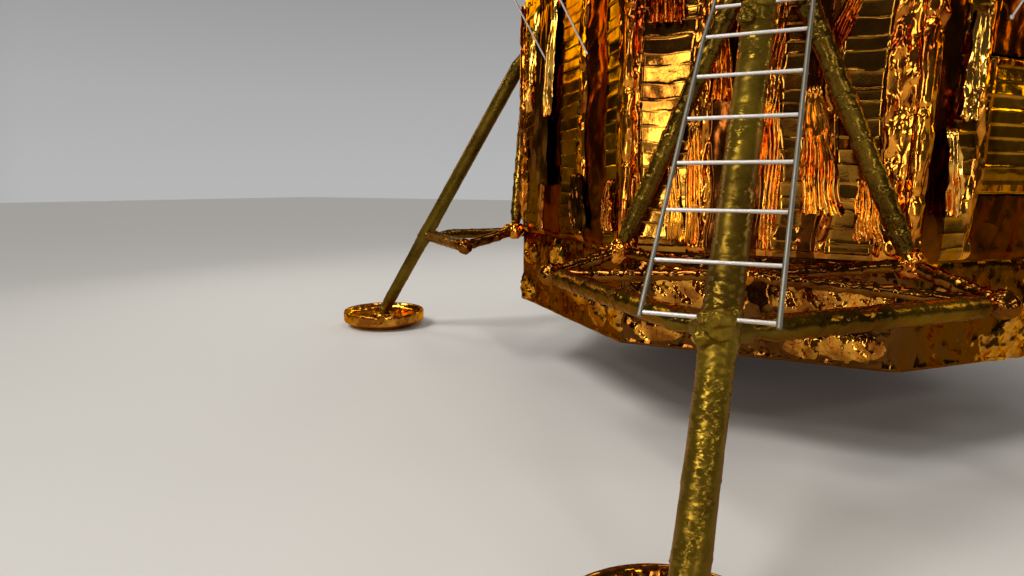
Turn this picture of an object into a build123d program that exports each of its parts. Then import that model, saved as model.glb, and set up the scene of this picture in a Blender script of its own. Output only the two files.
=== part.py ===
from build123d import *
from math import atan2, cos, radians, sin, sqrt, tan
import os

# A two-stage lunar lander that stands on four footpads.
# z = 0 is the ground, the vertical axis goes through the hatch in its roof,
# and the leg that carries the ladder points to -Y. Millimetres and degrees.

# Fits
seat = 0.3  # between pieces that rest on or stand against each other
running = 0.05  # radial, between a hinge pin and its bore
swing = 12  # around a piece that swings past another

# Legs: name, turn about the vertical axis from the front leg
LEGS = (("front", 0), ("right", 90), ("rear", 180), ("left", 270))
CORNERS = ((1, -1), (1, 1), (-1, 1), (-1, -1))  # signs of x and y, corner by corner

# Footpads and main struts
pad_reach = 4240  # vertical axis to the pad's ball
pad_radius = 470
pad_floor_radius = 345
pad_height = 180
pad_web = 95  # height of the pad's floor inside its rim
pad_rim_low = 66  # height where its flared bottom meets its side
pad_rim = 26
boss_radius = 125
ball_radius = 68
ball_height = 170
apex_stand = 295  # leg face to the apex
piston_radius = 62
piston_neck_radius = 43  # at the ball
piston_neck_run = 109  # ball to the piston's full width
cylinder_radius = 70
collar_radius = 86
joint_run = 1100  # ball to side strut joint, along the strut
apex_drop = 179.4  # deck's top to the apex
collar_half = 75
collar_cone = 20
cone_run = 150
cylinder_end_radius = 34
lug_radius = 46
lug_reach = 150  # strut axis to the lug's face

# Gear truss
apex_knob = 92
knee_knob = 86
side_knob = 74
middle_knob = 58
deck_knob = 50
knee_half = 805
knee_height = 1240
side_node = (1144, 2500, 1110)  # x, distance forward, height
middle_node = (0, 2600, 1190)
deck_node_half = 640
deck_node_drop = 80  # bays' top to the knobs under the deck
knee_tube = 50
deck_tube = 35
side_tube = 40
web_tube = 30
side_strut_radius = 55
tube_end_radius = 22
tube_cone = 110

# Ladder
rung_count = 9
rung_spacing = 228.6
first_rung_run = 1105  # ball to the lowest rung, along the strut
bend_rung = 7
ladder_offset = 145  # strut axis to ladder
ladder_foot_shift = -35  # strut axis to the middle of the lowest rung, sideways
ladder_skew = 1.8  # degrees, sideways from the strut
upper_offset = 100  # the same above the bend
lower_width = 496
bend_width = 441
rail_radius = 10
rung_radius = 8.5
rail_tail = 18
bracket_width = 100
bracket_length = 60

# Descent stage
leg_face_half = 790
apothem = 2070
base_bottom = 620
bay_bottom = 1240
bay_top = 3200
deck_top = 3230
well_radius = 830
seam = 0.4  # between neighbouring bays
roll_radius = 50  # the gathered film along the upright corners
roll_bottom = 1380
roll_top_gap = 12  # under the deck's overhang

# Descent engine
bell_exit = 450  # height of the bell's mouth
bell_exit_radius = 750
bell_waist = (632, 760)  # radius, height
bell_throat = (210, 1170)
bell_wall = 14
engine_radius = 300
engine_height = 460
engine_clearance = 20

# Equipment tray
tray_width = 850
tray_height = 750
tray_depth = 350
tray_inner_height = 630
tray_bottom = 1620
tray_pin_radius = 12
tray_pin_inset = 24

# Fuel cask
cask_radius = 125
cask_height = 520
cask_bottom = 1900
cask_offset = 210
cask_arm = 60

# Plume deflectors: troughs outboard of the diagonal faces
deflector_width = 840
deflector_wall = 10
deflector_centre = (3195, 4077)  # of its bend: distance from the vertical axis, height
deflector_bend = 1006
deflector_turns = (177, 231)  # from its upper to its lower edge, about that centre
rod_radius = 8
rod_knob = 14
rod_half = 320
rod_root_height = 2577
rod_deck_inset = 40
rod_turns = (203, 228)  # where the rods from the deck and from the face meet the trough

# Porch
porch_half = 405
porch_front = 2520
porch_rear = 1780
porch_rise = 70  # its top above the deck's
porch_plate = 25
beam_width = 60
beam_place = 330
rail_height = 300
hoop_radius = 15
hoop_inset = 40

# Cabin drum and face
cabin_radius = 1170
cabin_rise = 220  # deck's top to the drum's underside
cabin_wall = 60
cabin_floor = 3640
cabin_back = 690
cabin_split = 1200
cabin_front = 1760
passage_radius = 690
facet_half = 455
facet_drop = 120  # drum's centre down to where the facets meet the front
facet_yaw = 28
facet_pitch = 18
brow_rise = 430  # drum's centre up to the brow
brow_pitch = 32
window_low = (190, -130)  # along the facet and up it, from the facet's corner
window_high = (120, 470)
window_side = (610, 390)
window_round = 40
pane_thickness = 16

# Front hatch
hatch_bottom = 3690
hatch_opening = 780
hatch_lap = 30
hatch_thickness = 40
hatch_pin_radius = 8
hatch_knuckle_radius = 17
hatch_knuckle_length = 120
hatch_knuckle_place = 250
hatch_pin_gap = 6  # knuckle to the panel's edge
hatch_pin_over = 15  # pin past its outer knuckles

# Midsection, tunnel and top hatch
mid_half = 830
mid_back = 690
mid_bottom = 3850
mid_top = 5850
mid_wall = 60
tunnel_bore = 405
tunnel_wall = 35
tunnel_top = 6330
ring_radius = 475
ring_height = 60
top_hatch_radius = 440
top_hatch_thickness = 40
top_pin_radius = 9
top_pin_place = 464
top_knuckle_radius = 18
top_knuckle_half = 150
cover_radius = 390
cover_height = 470
ascent_bell_exit = (390, 3262)
ascent_bell_belly = (306, 3492)
ascent_bell_throat = (120, 3780)

# Tanks and aft bay
tank_length = 1180
right_tank = (1400, 4520, 690)  # centre x, centre z, corner radius
left_tank = (1130, 4480, 590)
tank_chamfer = 170
aft_half = 1000
aft_depth = 820
aft_bottom = 3950
aft_top = 5640
aft_chamfer = 180
post_radius = 38
post_knob = 52
post_place = 900  # the posts' feet on the deck
post_inset = 130  # the posts' heads, in from the midsection's sides

# Thrusters
cluster_reach = 1676
cluster_height = 4720
cluster_half = 95
nozzle_throat = 26
nozzle_exit = 74
nozzle_length = 165
nozzle_wall = 5
nozzle_floor = 20  # block to the bottom of the nozzle's hollow
arm_radius = 42
arm_end_radius = 24
arm_cone = 90
arm_knob = 58
front_arm_place = 1040  # distance forward of the front arms' feet
rear_arm_place = 1330

# Radar on the cabin's brow
radar_y = -1060
radar_radius = 305
radar_centre = 6680
radar_pedestal_half = 140
# Steerable dish beside the tunnel
antenna_x = -900
antenna_radius = 330
antenna_centre = 6560
mast_foot_x = -720
mast_foot_half = 90
mast_foot_height = 60
mast_radius = 45
mast_cap_radius = 72
# Both dishes
fork_wall = 28
fork_depth = 80
fork_gap = 40  # rim to fork
fork_drop = 42  # rim to the fork's floor
hinge_gap = 4
trunnion_radius = 14
trunnion_boss = 28
turn_pin_radius = 20
turn_pin_height = 22
turn_pin_top_gap = 2
dish_depth = 90
dish_wall = 10
dish_band = 60
dish_rim = 15  # the band's thickness
feed_radius = 13
feed_length = 210
feed_cap = 42

# Whips
whip_radius = 12
whip_foot_radius = 40
whip_foot_height = 50
whip_length = 420
WHIPS = ((620, 480), (-620, 480))  # x, y on the roof


def save(builder, name):
    """Labels a finished piece and writes it."""
    builder.part.label = name
    export_step(builder.part, "parts/" + name + ".step")


def turned(point, angle):
    """A point of the front leg, carried round to another leg."""
    return Vector(*point).rotate(Axis.Z, angle)


def bar(start, end, radius, trim_start=0, trim_end=0):
    """A straight round bar, cut back from the two points it runs between."""
    unit = (end - start).normalized()
    with BuildPart() as made:
        with BuildSketch(Plane(origin=start + unit * trim_start, z_dir=unit)):
            Circle(radius)
        extrude(amount=(end - start).length - trim_start - trim_end)
    return made.part


def coned_bar(start, end, radius, end_radius, cone, trim_start=0, trim_end=0):
    """A straight tube whose ends narrow to fittings."""
    unit = (end - start).normalized()
    foot = start + unit * trim_start
    length = (end - start).length - trim_start - trim_end
    side = unit.cross(Vector(0, 0, 1)).normalized()
    with BuildPart() as made:
        with BuildSketch(Plane(origin=foot, x_dir=side, z_dir=side.cross(unit))):
            with BuildLine():
                Polyline(
                    (0, 0),
                    (end_radius, 0),
                    (radius, cone),
                    (radius, length - cone),
                    (end_radius, length),
                    (0, length),
                    close=True,
                )
            make_face()
        revolve(axis=Axis(foot, unit))
    return made.part


def knobbed_rod(start, end, radius, knob):
    """A thin rod with a round knob at each end."""
    unit = (end - start).normalized()
    length = (end - start).length
    side = unit.cross(Vector(0, 0, 1)).normalized()
    neck = sqrt(knob**2 - radius**2)
    with BuildPart() as made:
        with BuildSketch(Plane(origin=start, x_dir=side, z_dir=side.cross(unit))):
            with BuildLine():
                ThreePointArc((0, -knob), (knob, 0), (radius, neck))
                Line((radius, neck), (radius, length - neck))
                ThreePointArc((radius, length - neck), (knob, length), (0, length + knob))
                Line((0, length + knob), (0, -knob))
            make_face()
        revolve(axis=Axis(start, unit))
    return made.part


def ball(centre, radius):
    """A round knob."""
    with BuildPart() as made:
        with Locations(centre):
            Sphere(radius)
    return made.part


def block(low, high):
    """A square-edged block between two corners."""
    size = [b - a for a, b in zip(low, high)]
    middle = [(a + b) / 2 for a, b in zip(low, high)]
    with BuildPart() as made:
        with Locations(tuple(middle)):
            Box(*size)
    return made.part


def octagon(height, bottom, grown=0):
    """The descent stage's plan, with narrow leg faces and wide diagonal faces, grown all round."""
    a, w = apothem, leg_face_half
    outline = [(w, -a), (a, -w), (a, w), (w, a), (-w, a), (-a, w), (-a, -w), (-w, -a)]
    with BuildPart() as made:
        with BuildSketch(Plane.XY.offset(bottom)):
            Polygon(*outline, align=None)
            if grown:
                offset(amount=grown, kind=Kind.INTERSECTION)
        extrude(amount=height)
    return made.part


def diagonal_plane(corner):
    """A plane on a diagonal face: x runs along the face, y is up, z points outward."""
    sx, sy = CORNERS[corner]
    outward = Vector(sx, sy, 0).normalized()
    along = Vector(0, 0, 1).cross(outward)
    return Plane(origin=outward * face_reach, x_dir=along, z_dir=outward)


os.makedirs("parts", exist_ok=True)
face_reach = (apothem + leg_face_half) / sqrt(2)  # vertical axis to a diagonal face
porch_height = deck_top + porch_rise
cabin_centre = deck_top + cabin_rise + cabin_radius
facet_start = cabin_centre - facet_drop
brow_start = cabin_centre + brow_rise

# Places on the front leg
strut_rise = deck_top - apex_drop - ball_height
lean = atan2(pad_reach - apothem - apex_stand, strut_rise)  # from the vertical
apex_run = strut_rise / cos(lean)  # ball to apex, along the strut
deck_node_height = bay_top - deck_node_drop
strut_up = Vector(0, sin(lean), cos(lean))
strut_out = Vector(0, -cos(lean), sin(lean))
pad_ball = Vector(0, -pad_reach, ball_height)
joint_place = pad_ball + strut_up * joint_run
apex = pad_ball + strut_up * apex_run
knee_forward = apothem + knee_knob + seat
deck_forward = apothem + deck_knob + seat


def leg_node(place, sign, angle):
    """A node of the truss given as x, distance forward and height."""
    x, forward, height = place
    return turned((sign * x, -forward, height), angle)


# Footpads: shallow pans with a socket for the strut's ball
for leg, angle in LEGS:
    centre = turned((0, -pad_reach, 0), angle)
    with BuildPart() as footpad:
        with BuildSketch(Plane(origin=centre, x_dir=(1, 0, 0), z_dir=(0, -1, 0))):
            with BuildLine():
                Polyline(
                    (0, 0),
                    (pad_floor_radius, 0),
                    (pad_radius, pad_rim_low),
                    (pad_radius, pad_height),
                    (pad_radius - pad_rim, pad_height),
                    (pad_radius - pad_rim * 2, pad_web + pad_rim),
                    (boss_radius + pad_rim, pad_web),
                    (boss_radius, ball_height - ball_radius / 3),
                    (0, ball_height - ball_radius / 3),
                    close=True,
                )
            make_face()
        revolve(axis=Axis(centre, (0, 0, 1)))
        with Locations(centre + Vector(0, 0, ball_height)):
            Sphere(ball_radius + seat, mode=Mode.SUBTRACT)
    save(footpad, "footpad_" + leg)

# Main struts: a piston in a cylinder, with the collar that the side struts join
side_nodes = [Vector(sign * side_node[0], -side_node[1], side_node[2]) for sign in (-1, 1)]
ball_side = (ball_radius, 0)
STRUT_PROFILE = (  # radius, distance along the strut from the ball
    (piston_neck_radius, sqrt(ball_radius**2 - piston_neck_radius**2)),
    (piston_radius, piston_neck_run),
    (piston_radius, joint_run - collar_half - collar_cone),
    (collar_radius, joint_run - collar_half),
    (collar_radius, joint_run + collar_half),
    (cylinder_radius, joint_run + collar_half + collar_cone),
    (cylinder_radius, apex_run - apex_knob - cone_run),
    (cylinder_end_radius, apex_run - apex_knob - seat),
)
for leg, angle in LEGS:
    foot = turned(pad_ball, angle)
    up = turned(strut_up, angle)
    across = turned((1, 0, 0), angle)
    joint = turned(joint_place, angle)
    lug_ways = [turned(node - joint_place, angle) for node in side_nodes]
    slant = (across + across.cross(up)).normalized()
    with BuildPart() as main_strut:
        with BuildSketch(Plane(origin=foot, x_dir=slant, z_dir=slant.cross(up))):
            with BuildLine():
                ThreePointArc((0, -ball_radius), ball_side, STRUT_PROFILE[0])
                Polyline(*STRUT_PROFILE, (0, STRUT_PROFILE[-1][1]), (0, -ball_radius))
            make_face()
        revolve(axis=Axis(foot, up))
        for way in lug_ways:
            with BuildSketch(Plane(origin=joint, z_dir=way)):
                Circle(lug_radius)
            extrude(amount=lug_reach)
    save(main_strut, "main_strut_" + leg)

# Gear trusses: knobs with tubes between them, and the side struts beside them
side_struts_made = []
for leg, angle in LEGS:
    top = turned(apex, angle)
    middle = turned((middle_node[0], -middle_node[1], middle_node[2]), angle)
    joint = turned(joint_place, angle)
    pieces = [ball(top, apex_knob), ball(middle, middle_knob)]
    for sign in (-1, 1):
        knee = leg_node((knee_half, knee_forward, knee_height), sign, angle)
        side = leg_node(side_node, sign, angle)
        deck = leg_node((deck_node_half, deck_forward, deck_node_height), sign, angle)
        pieces += [ball(knee, knee_knob), ball(side, side_knob), ball(deck, deck_knob)]
        # end, end, radius, knob at each end
        tubes = (
            (top, knee, knee_tube, apex_knob, knee_knob),
            (top, deck, deck_tube, apex_knob, deck_knob),
            (knee, side, side_tube, knee_knob, side_knob),
            (knee, middle, web_tube, knee_knob, middle_knob),
            (side, middle, web_tube, side_knob, middle_knob),
        )
        for start, end, radius, knob, far_knob in tubes:
            pieces.append(coned_bar(start, end, radius, tube_end_radius, tube_cone, knob + seat, far_knob + seat))
        side_struts_made.append(
            coned_bar(
                joint,
                side,
                side_strut_radius,
                tube_end_radius,
                tube_cone,
                lug_reach + seat,
                side_knob + seat,
            )
        )
    with BuildPart() as gear_truss:
        add(pieces)
    save(gear_truss, "gear_truss_" + leg)
with BuildPart() as side_struts:
    add(side_struts_made)
save(side_struts, "side_struts")


# Ladder: two bent rails and the rungs between them
def ladder_half(run):
    """Half the ladder's width at a run along the strut from its lowest rung."""
    return (lower_width + (bend_width - lower_width) * run / ((bend_rung - 1) * rung_spacing)) / 2


def ladder_point(rung, sign=0, extra=0):
    """A point on the ladder at a rung; sign picks a rail, extra runs on along the strut."""
    away = ladder_offset if rung <= bend_rung else upper_offset
    run = (rung - 1) * rung_spacing + extra
    centre = pad_ball + strut_up * (first_rung_run + run) + strut_out * away
    aside = ladder_foot_shift + run * tan(radians(ladder_skew))
    return centre + Vector(aside + sign * ladder_half(run), 0, 0)


rails = []
for sign in (-1, 1):
    stops = [
        ladder_point(1, sign, -rail_tail),
        ladder_point(bend_rung, sign),
        ladder_point(bend_rung + 1, sign),
        ladder_point(rung_count, sign, rail_tail),
    ]
    segments = [bar(a, b, rail_radius) for a, b in zip(stops, stops[1:])]
    segments += [ball(place, rail_radius) for place in stops[1:-1]]
    with BuildPart() as rail:
        add(segments)
    rails.append(rail.part)
with BuildPart() as ladder_rails:
    add(rails)
save(ladder_rails, "ladder_rails")

rung_trim = rail_radius + seat * 2
rungs = [
    bar(ladder_point(rung, -1), ladder_point(rung, 1), rung_radius, rung_trim, rung_trim)
    for rung in range(1, rung_count + 1)
]
with BuildPart() as ladder_rungs:
    add(rungs)
save(ladder_rungs, "ladder_rungs")

# Brackets that hold the ladder off the strut
brackets = []
for rung in (1, bend_rung + 1):
    centre = ladder_point(rung)
    away = ladder_offset if rung <= bend_rung else upper_offset
    strut_radius = collar_radius if rung == 1 else cylinder_radius
    depth = away - strut_radius - rung_radius - seat * 2
    place = centre - strut_out * (rung_radius + seat + depth)
    with BuildPart() as bracket:
        with BuildSketch(Plane(origin=place, x_dir=(1, 0, 0), z_dir=strut_out)):
            Rectangle(bracket_width, bracket_length)
        extrude(amount=depth)
    brackets.append(bracket.part)
with BuildPart() as ladder_brackets:
    add(brackets)
save(ladder_brackets, "ladder_brackets")

# Descent stage: a square engine bay, four tank bays and four corner bays
bay_height = bay_top - bay_bottom - seat
inner = leg_face_half - seam / 2
with BuildPart() as engine_bay:
    with BuildSketch(Plane.XY.offset(bay_bottom)):
        Rectangle(2 * inner, 2 * inner)
    extrude(amount=bay_height)
    with BuildSketch(Plane.XY.offset(bay_bottom)):
        Circle(engine_radius + engine_clearance)
    extrude(amount=engine_height + seat, mode=Mode.SUBTRACT)
save(engine_bay, "engine_bay")

tank_bay_depth = apothem - leg_face_half - seam / 2
with BuildPart() as tank_bays:
    for leg, angle in LEGS:
        place = turned((0, -apothem + tank_bay_depth / 2, 0), angle)
        with BuildSketch(Plane(origin=place + Vector(0, 0, bay_bottom), x_dir=turned((1, 0, 0), angle))):
            Rectangle(2 * inner, tank_bay_depth)
        extrude(amount=bay_height)
save(tank_bays, "tank_bays")


def corner_bay(corner):
    """A three-cornered bay between two tank bays."""
    sx, sy = CORNERS[corner]
    near = leg_face_half + seam / 2
    far = apothem + leg_face_half - near
    with BuildPart() as made:
        with BuildSketch(Plane.XY.offset(bay_bottom)):
            Polygon((sx * near, sy * near), (sx * far, sy * near), (sx * near, sy * far), align=None)
        extrude(amount=bay_height)
    return made.part


plain_corners = [corner_bay(corner) for corner in (1, 2, 3)]
with BuildPart() as corner_bays:
    add(plain_corners)
save(corner_bays, "corner_bays")

# Rolls of gathered film along the eight upright corners
corner_rolls_made = []
bays_form = octagon(bay_height, bay_bottom, seat)
for sx, sy in CORNERS:
    for x, y in ((leg_face_half, apothem), (apothem, leg_face_half)):
        with BuildPart() as roll:
            with BuildSketch(Plane.XY.offset(roll_bottom)):
                with Locations((sx * x, sy * y)):
                    Circle(roll_radius)
            extrude(amount=bay_top - roll_top_gap - roll_bottom)
            add(bays_form, mode=Mode.SUBTRACT)
        corner_rolls_made.append(roll.part)
with BuildPart() as corner_rolls:
    add(corner_rolls_made)
save(corner_rolls, "corner_rolls")

# Equipment bay at the front right, with a recess and the pin that its tray hangs on
tray_plane = diagonal_plane(0)
pin_height = tray_bottom + tray_pin_inset
recess_half = tray_width / 2 + swing
recess_low = tray_bottom - swing
recess_high = tray_bottom + tray_height + swing
equipment_corner = corner_bay(0)
with BuildPart() as equipment_bay:
    add(equipment_corner)
    with BuildSketch(tray_plane):
        with Locations((0, (recess_low + recess_high) / 2)):
            Rectangle(2 * recess_half, recess_high - recess_low)
    extrude(amount=-(tray_depth + swing), mode=Mode.SUBTRACT)
    pin_start = tray_plane.from_local_coords((-recess_half - swing, pin_height, -tray_pin_inset))
    pin_end = tray_plane.from_local_coords((recess_half + swing, pin_height, -tray_pin_inset))
    with BuildSketch(Plane(origin=pin_start, z_dir=pin_end - pin_start)):
        Circle(tray_pin_radius)
    extrude(amount=(pin_end - pin_start).length)
save(equipment_bay, "equipment_bay")

tray_side = tray_plane.from_local_coords((-tray_width / 2, 0, 0))
with BuildPart() as equipment_tray:
    with BuildSketch(Plane(origin=tray_side, x_dir=-tray_plane.z_dir, z_dir=tray_plane.x_dir)):
        Polygon(
            (0, tray_bottom),
            (tray_depth, tray_bottom),
            (tray_depth, tray_bottom + tray_inner_height),
            (0, tray_bottom + tray_height),
            align=None,
        )
    extrude(amount=tray_width)
    bore_start = tray_plane.from_local_coords((-tray_width, pin_height, -tray_pin_inset))
    with BuildSketch(Plane(origin=bore_start, z_dir=pin_end - pin_start)):
        Circle(tray_pin_radius + running)
    extrude(amount=2 * tray_width, mode=Mode.SUBTRACT)
save(equipment_tray, "equipment_tray")

# Upper deck and the skirt round the engine's well
deck_form = octagon(deck_top - bay_top, bay_top)
with BuildPart() as upper_deck:
    add(deck_form)
save(upper_deck, "upper_deck")

skirt_form = octagon(bay_bottom - seat - base_bottom, base_bottom)
with BuildPart() as base_skirt:
    add(skirt_form)
    with BuildSketch(Plane.XY.offset(base_bottom)):
        Circle(well_radius)
    extrude(amount=bay_bottom - base_bottom, mode=Mode.SUBTRACT)
save(base_skirt, "base_skirt")

# Descent engine: the block in its bay, and the bell in the well
with BuildPart() as descent_engine:
    with BuildSketch(Plane.XY.offset(bay_bottom)):
        Circle(engine_radius)
    extrude(amount=engine_height)
save(descent_engine, "descent_engine")

with BuildPart() as engine_bell:
    with BuildSketch(Plane.XZ):
        with BuildLine():
            mouth = (bell_exit_radius, bell_exit)
            inner_mouth = (bell_exit_radius - bell_wall, bell_exit)
            inner_waist = (bell_waist[0] - bell_wall, bell_waist[1] - bell_wall)
            inner_throat = (bell_throat[0] - bell_wall, bell_throat[1] - bell_wall)
            crown = (bell_throat[0], bay_bottom - seat)
            ThreePointArc(mouth, bell_waist, bell_throat)
            Polyline(bell_throat, crown, (0, crown[1]), (0, inner_throat[1]), inner_throat)
            ThreePointArc(inner_throat, inner_waist, inner_mouth)
            Line(inner_mouth, mouth)
        make_face()
    revolve(axis=Axis.Z)
save(engine_bell, "engine_bell")

# Fuel cask on the left rear diagonal face, on two arms
cask_plane = diagonal_plane(2)
cask_centre = cask_plane.from_local_coords((0, cask_bottom, cask_offset))
with BuildPart() as fuel_cask:
    with BuildSketch(Plane.XY.offset(cask_bottom)):
        with Locations((cask_centre.X, cask_centre.Y)):
            Circle(cask_radius)
    extrude(amount=cask_height)
    with BuildSketch(cask_plane.offset(seat)):
        with Locations((0, cask_bottom + cask_arm), (0, cask_bottom + cask_height - cask_arm)):
            Rectangle(cask_arm * 2, cask_arm)
    extrude(amount=cask_offset)
save(fuel_cask, "fuel_cask")

# Plume deflectors under the thrusters, and the rods that carry them
def bend_point(turn, curve):
    """A point of a trough's section, as distance from the vertical axis and height."""
    angle = radians(turn)
    return deflector_centre[0] + curve * cos(angle), deflector_centre[1] + curve * sin(angle)


deflectors = []
rods = []
upper_turn, lower_turn = deflector_turns
middle_turn = (upper_turn + lower_turn) / 2
front_curve = deflector_bend - deflector_wall
for corner in range(len(CORNERS)):
    plane = diagonal_plane(corner)
    section = Plane(origin=(0, 0, 0), x_dir=plane.z_dir, z_dir=plane.z_dir.cross(Vector(0, 0, 1)))
    with BuildPart() as deflector:
        with BuildSketch(section):
            with BuildLine():
                ThreePointArc(*[bend_point(turn, deflector_bend) for turn in (upper_turn, middle_turn, lower_turn)])
                ThreePointArc(*[bend_point(turn, front_curve) for turn in (upper_turn, middle_turn, lower_turn)])
                Line(bend_point(upper_turn, deflector_bend), bend_point(upper_turn, front_curve))
                Line(bend_point(lower_turn, deflector_bend), bend_point(lower_turn, front_curve))
            make_face()
        extrude(amount=deflector_width / 2, both=True)
    deflectors.append(deflector.part)
    for sign in (-1, 1):
        place = sign * rod_half
        deck_root = plane.from_local_coords((place, deck_top + rod_knob + seat, -rod_deck_inset))
        face_root = plane.from_local_coords((place, rod_root_height, rod_knob + seat))
        for root, turn in ((deck_root, rod_turns[0]), (face_root, rod_turns[1])):
            out, height = bend_point(turn, deflector_bend + rod_knob + seat)
            tip = plane.from_local_coords((place, height, out - face_reach))
            rods.append(knobbed_rod(root, tip, rod_radius, rod_knob))
with BuildPart() as plume_deflectors:
    add(deflectors)
save(plume_deflectors, "plume_deflectors")
with BuildPart() as deflector_rods:
    add(rods)
save(deflector_rods, "deflector_rods")

# Porch in front of the hatch: a deck on two beams, with a hoop rail along each side
porch_bottom = porch_height - porch_plate
with BuildPart() as porch:
    with BuildSketch(Plane.XY.offset(porch_bottom)):
        with Locations((0, -(porch_front + porch_rear) / 2)):
            Rectangle(2 * porch_half, porch_front - porch_rear)
    extrude(amount=porch_plate)
    with BuildSketch(Plane.XY.offset(deck_top + seat)):
        with Locations((-beam_place, -(porch_front + porch_rear) / 2), (beam_place, -(porch_front + porch_rear) / 2)):
            Rectangle(beam_width, porch_front - porch_rear)
    extrude(amount=porch_bottom - deck_top - seat)
save(porch, "porch")

hoops = []
for sign in (-1, 1):
    x = sign * (porch_half - hoop_radius)
    front, rear = -(porch_front - hoop_inset), -(porch_rear + hoop_inset)
    low, high = porch_height + seat, porch_height + rail_height
    corners = [Vector(x, front, low), Vector(x, front, high), Vector(x, rear, high), Vector(x, rear, low)]
    pieces = [bar(a, b, hoop_radius) for a, b in zip(corners, corners[1:])]
    pieces += [ball(place, hoop_radius) for place in corners[1:-1]]
    with BuildPart() as hoop:
        add(pieces)
    hoops.append(hoop.part)
with BuildPart() as porch_rails:
    add(hoops)
save(porch_rails, "porch_rails")


# Cabin: a drum and, ahead of it, a faceted face with two windows and the front hatch
def facet_plane(sign, inset):
    """The plane of a canted window panel; sign is the side, inset goes into the cabin."""
    yaw, pitch = radians(facet_yaw), radians(facet_pitch)
    normal = Vector(sign * sin(yaw) * cos(pitch), -cos(yaw) * cos(pitch), sin(pitch))
    across = Vector(0, 0, 1).cross(normal).normalized() * sign
    origin = Vector(sign * facet_half, -cabin_front, facet_start) - normal * inset
    return Plane(origin=origin, x_dir=across * sign, z_dir=normal)


def brow_plane(inset):
    """The plane that leans back above the hatch."""
    pitch = radians(brow_pitch)
    normal = Vector(0, -cos(pitch), sin(pitch))
    return Plane(origin=Vector(0, -cabin_front, brow_start) - normal * inset, x_dir=(1, 0, 0), z_dir=normal)


def cabin_form(inset, back, front):
    """The cabin's outer form, or its hollow when inset by the wall."""
    with BuildPart() as made:
        with BuildSketch(Plane.XZ.offset(back)):
            with Locations((0, cabin_centre)):
                Circle(cabin_radius - inset)
        extrude(amount=front - back)
        for cut in (facet_plane(1, inset), facet_plane(-1, inset), brow_plane(inset)):
            split(bisect_by=cut, keep=Keep.BOTTOM)
    return made.part


under_floor = block((-cabin_radius, -cabin_front, cabin_centre - cabin_radius), (cabin_radius, 0, cabin_floor))
inner_form = cabin_form(cabin_wall, cabin_back + cabin_wall, cabin_front - cabin_wall)
with BuildPart() as hollow:
    add(inner_form)
    add(under_floor, mode=Mode.SUBTRACT)

with BuildPart() as cabin_drum:
    with BuildSketch(Plane.XZ.offset(cabin_back + seat)):
        with Locations((0, cabin_centre)):
            Circle(cabin_radius)
    extrude(amount=cabin_split - cabin_back - seat)
    add(hollow.part, mode=Mode.SUBTRACT)
    with BuildSketch(Plane.XZ.offset(cabin_back)):
        with Locations((0, cabin_centre)):
            Circle(passage_radius)
    extrude(amount=cabin_wall * 2, mode=Mode.SUBTRACT)
save(cabin_drum, "cabin_drum")

hatch_middle = hatch_bottom + hatch_opening / 2
hatch_outer = cabin_front - cabin_wall - seat  # distance forward of the hatch's outer face
hatch_panel_half = hatch_opening / 2 + hatch_lap
pin_x = -(hatch_panel_half + hatch_knuckle_radius + hatch_pin_gap)
pin_y = -(hatch_outer - hatch_thickness / 2)
window_outline = (window_low, window_side, window_high)
face_form = cabin_form(0, cabin_split + seat, cabin_front)
with BuildPart() as cabin_face:
    add(face_form)
    add(hollow.part, mode=Mode.SUBTRACT)
    with BuildSketch(Plane.XZ.offset(cabin_front - cabin_wall * 2)):
        with Locations((0, hatch_middle)):
            RectangleRounded(hatch_opening, hatch_opening, hatch_lap * 2)
    extrude(amount=cabin_wall * 3, mode=Mode.SUBTRACT)
    for sign in (-1, 1):
        with BuildSketch(facet_plane(sign, cabin_wall * 2)):
            with BuildLine():
                FilletPolyline(*[(sign * x, y) for x, y in window_outline], radius=window_round, close=True)
            make_face()
        extrude(amount=cabin_wall * 3, mode=Mode.SUBTRACT)
    for place in (-1, 1):
        lug_z = hatch_middle + place * (hatch_knuckle_place + hatch_knuckle_length / 2 + hatch_knuckle_radius)
        with BuildSketch(Plane.XY.offset(lug_z - hatch_knuckle_radius + seat * 2)):
            with Locations((pin_x, pin_y)):
                Circle(hatch_knuckle_radius)
            with Locations((pin_x, pin_y - hatch_thickness)):
                Rectangle(hatch_knuckle_radius * 2, hatch_thickness * 2)
        extrude(amount=2 * hatch_knuckle_radius - seat * 4)
    with BuildSketch(Plane.XY.offset(hatch_middle - hatch_knuckle_place - hatch_knuckle_length / 2 - hatch_pin_over)):
        with Locations((pin_x, pin_y)):
            Circle(hatch_pin_radius)
    extrude(amount=2 * (hatch_knuckle_place + hatch_pin_over) + hatch_knuckle_length)
save(cabin_face, "cabin_face")

with BuildPart() as front_hatch:
    with BuildSketch(Plane.XZ.offset(hatch_outer - hatch_thickness)):
        with Locations((0, hatch_middle)):
            Rectangle(2 * hatch_panel_half, 2 * hatch_panel_half)
    extrude(amount=hatch_thickness)
    for place in (-1, 1):
        start = hatch_middle + place * hatch_knuckle_place - hatch_knuckle_length / 2
        with BuildSketch(Plane.XY.offset(start)):
            with Locations((pin_x, pin_y)):
                Circle(hatch_knuckle_radius)
            with Locations((pin_x + hatch_knuckle_radius, pin_y)):
                Rectangle(2 * hatch_knuckle_radius + hatch_pin_gap, hatch_thickness / 2)
        extrude(amount=hatch_knuckle_length)
    with BuildSketch(Plane.XY.offset(hatch_middle - hatch_opening)):
        with Locations((pin_x, pin_y)):
            Circle(hatch_pin_radius + running)
    extrude(amount=2 * hatch_opening, mode=Mode.SUBTRACT)
save(front_hatch, "front_hatch")

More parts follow.
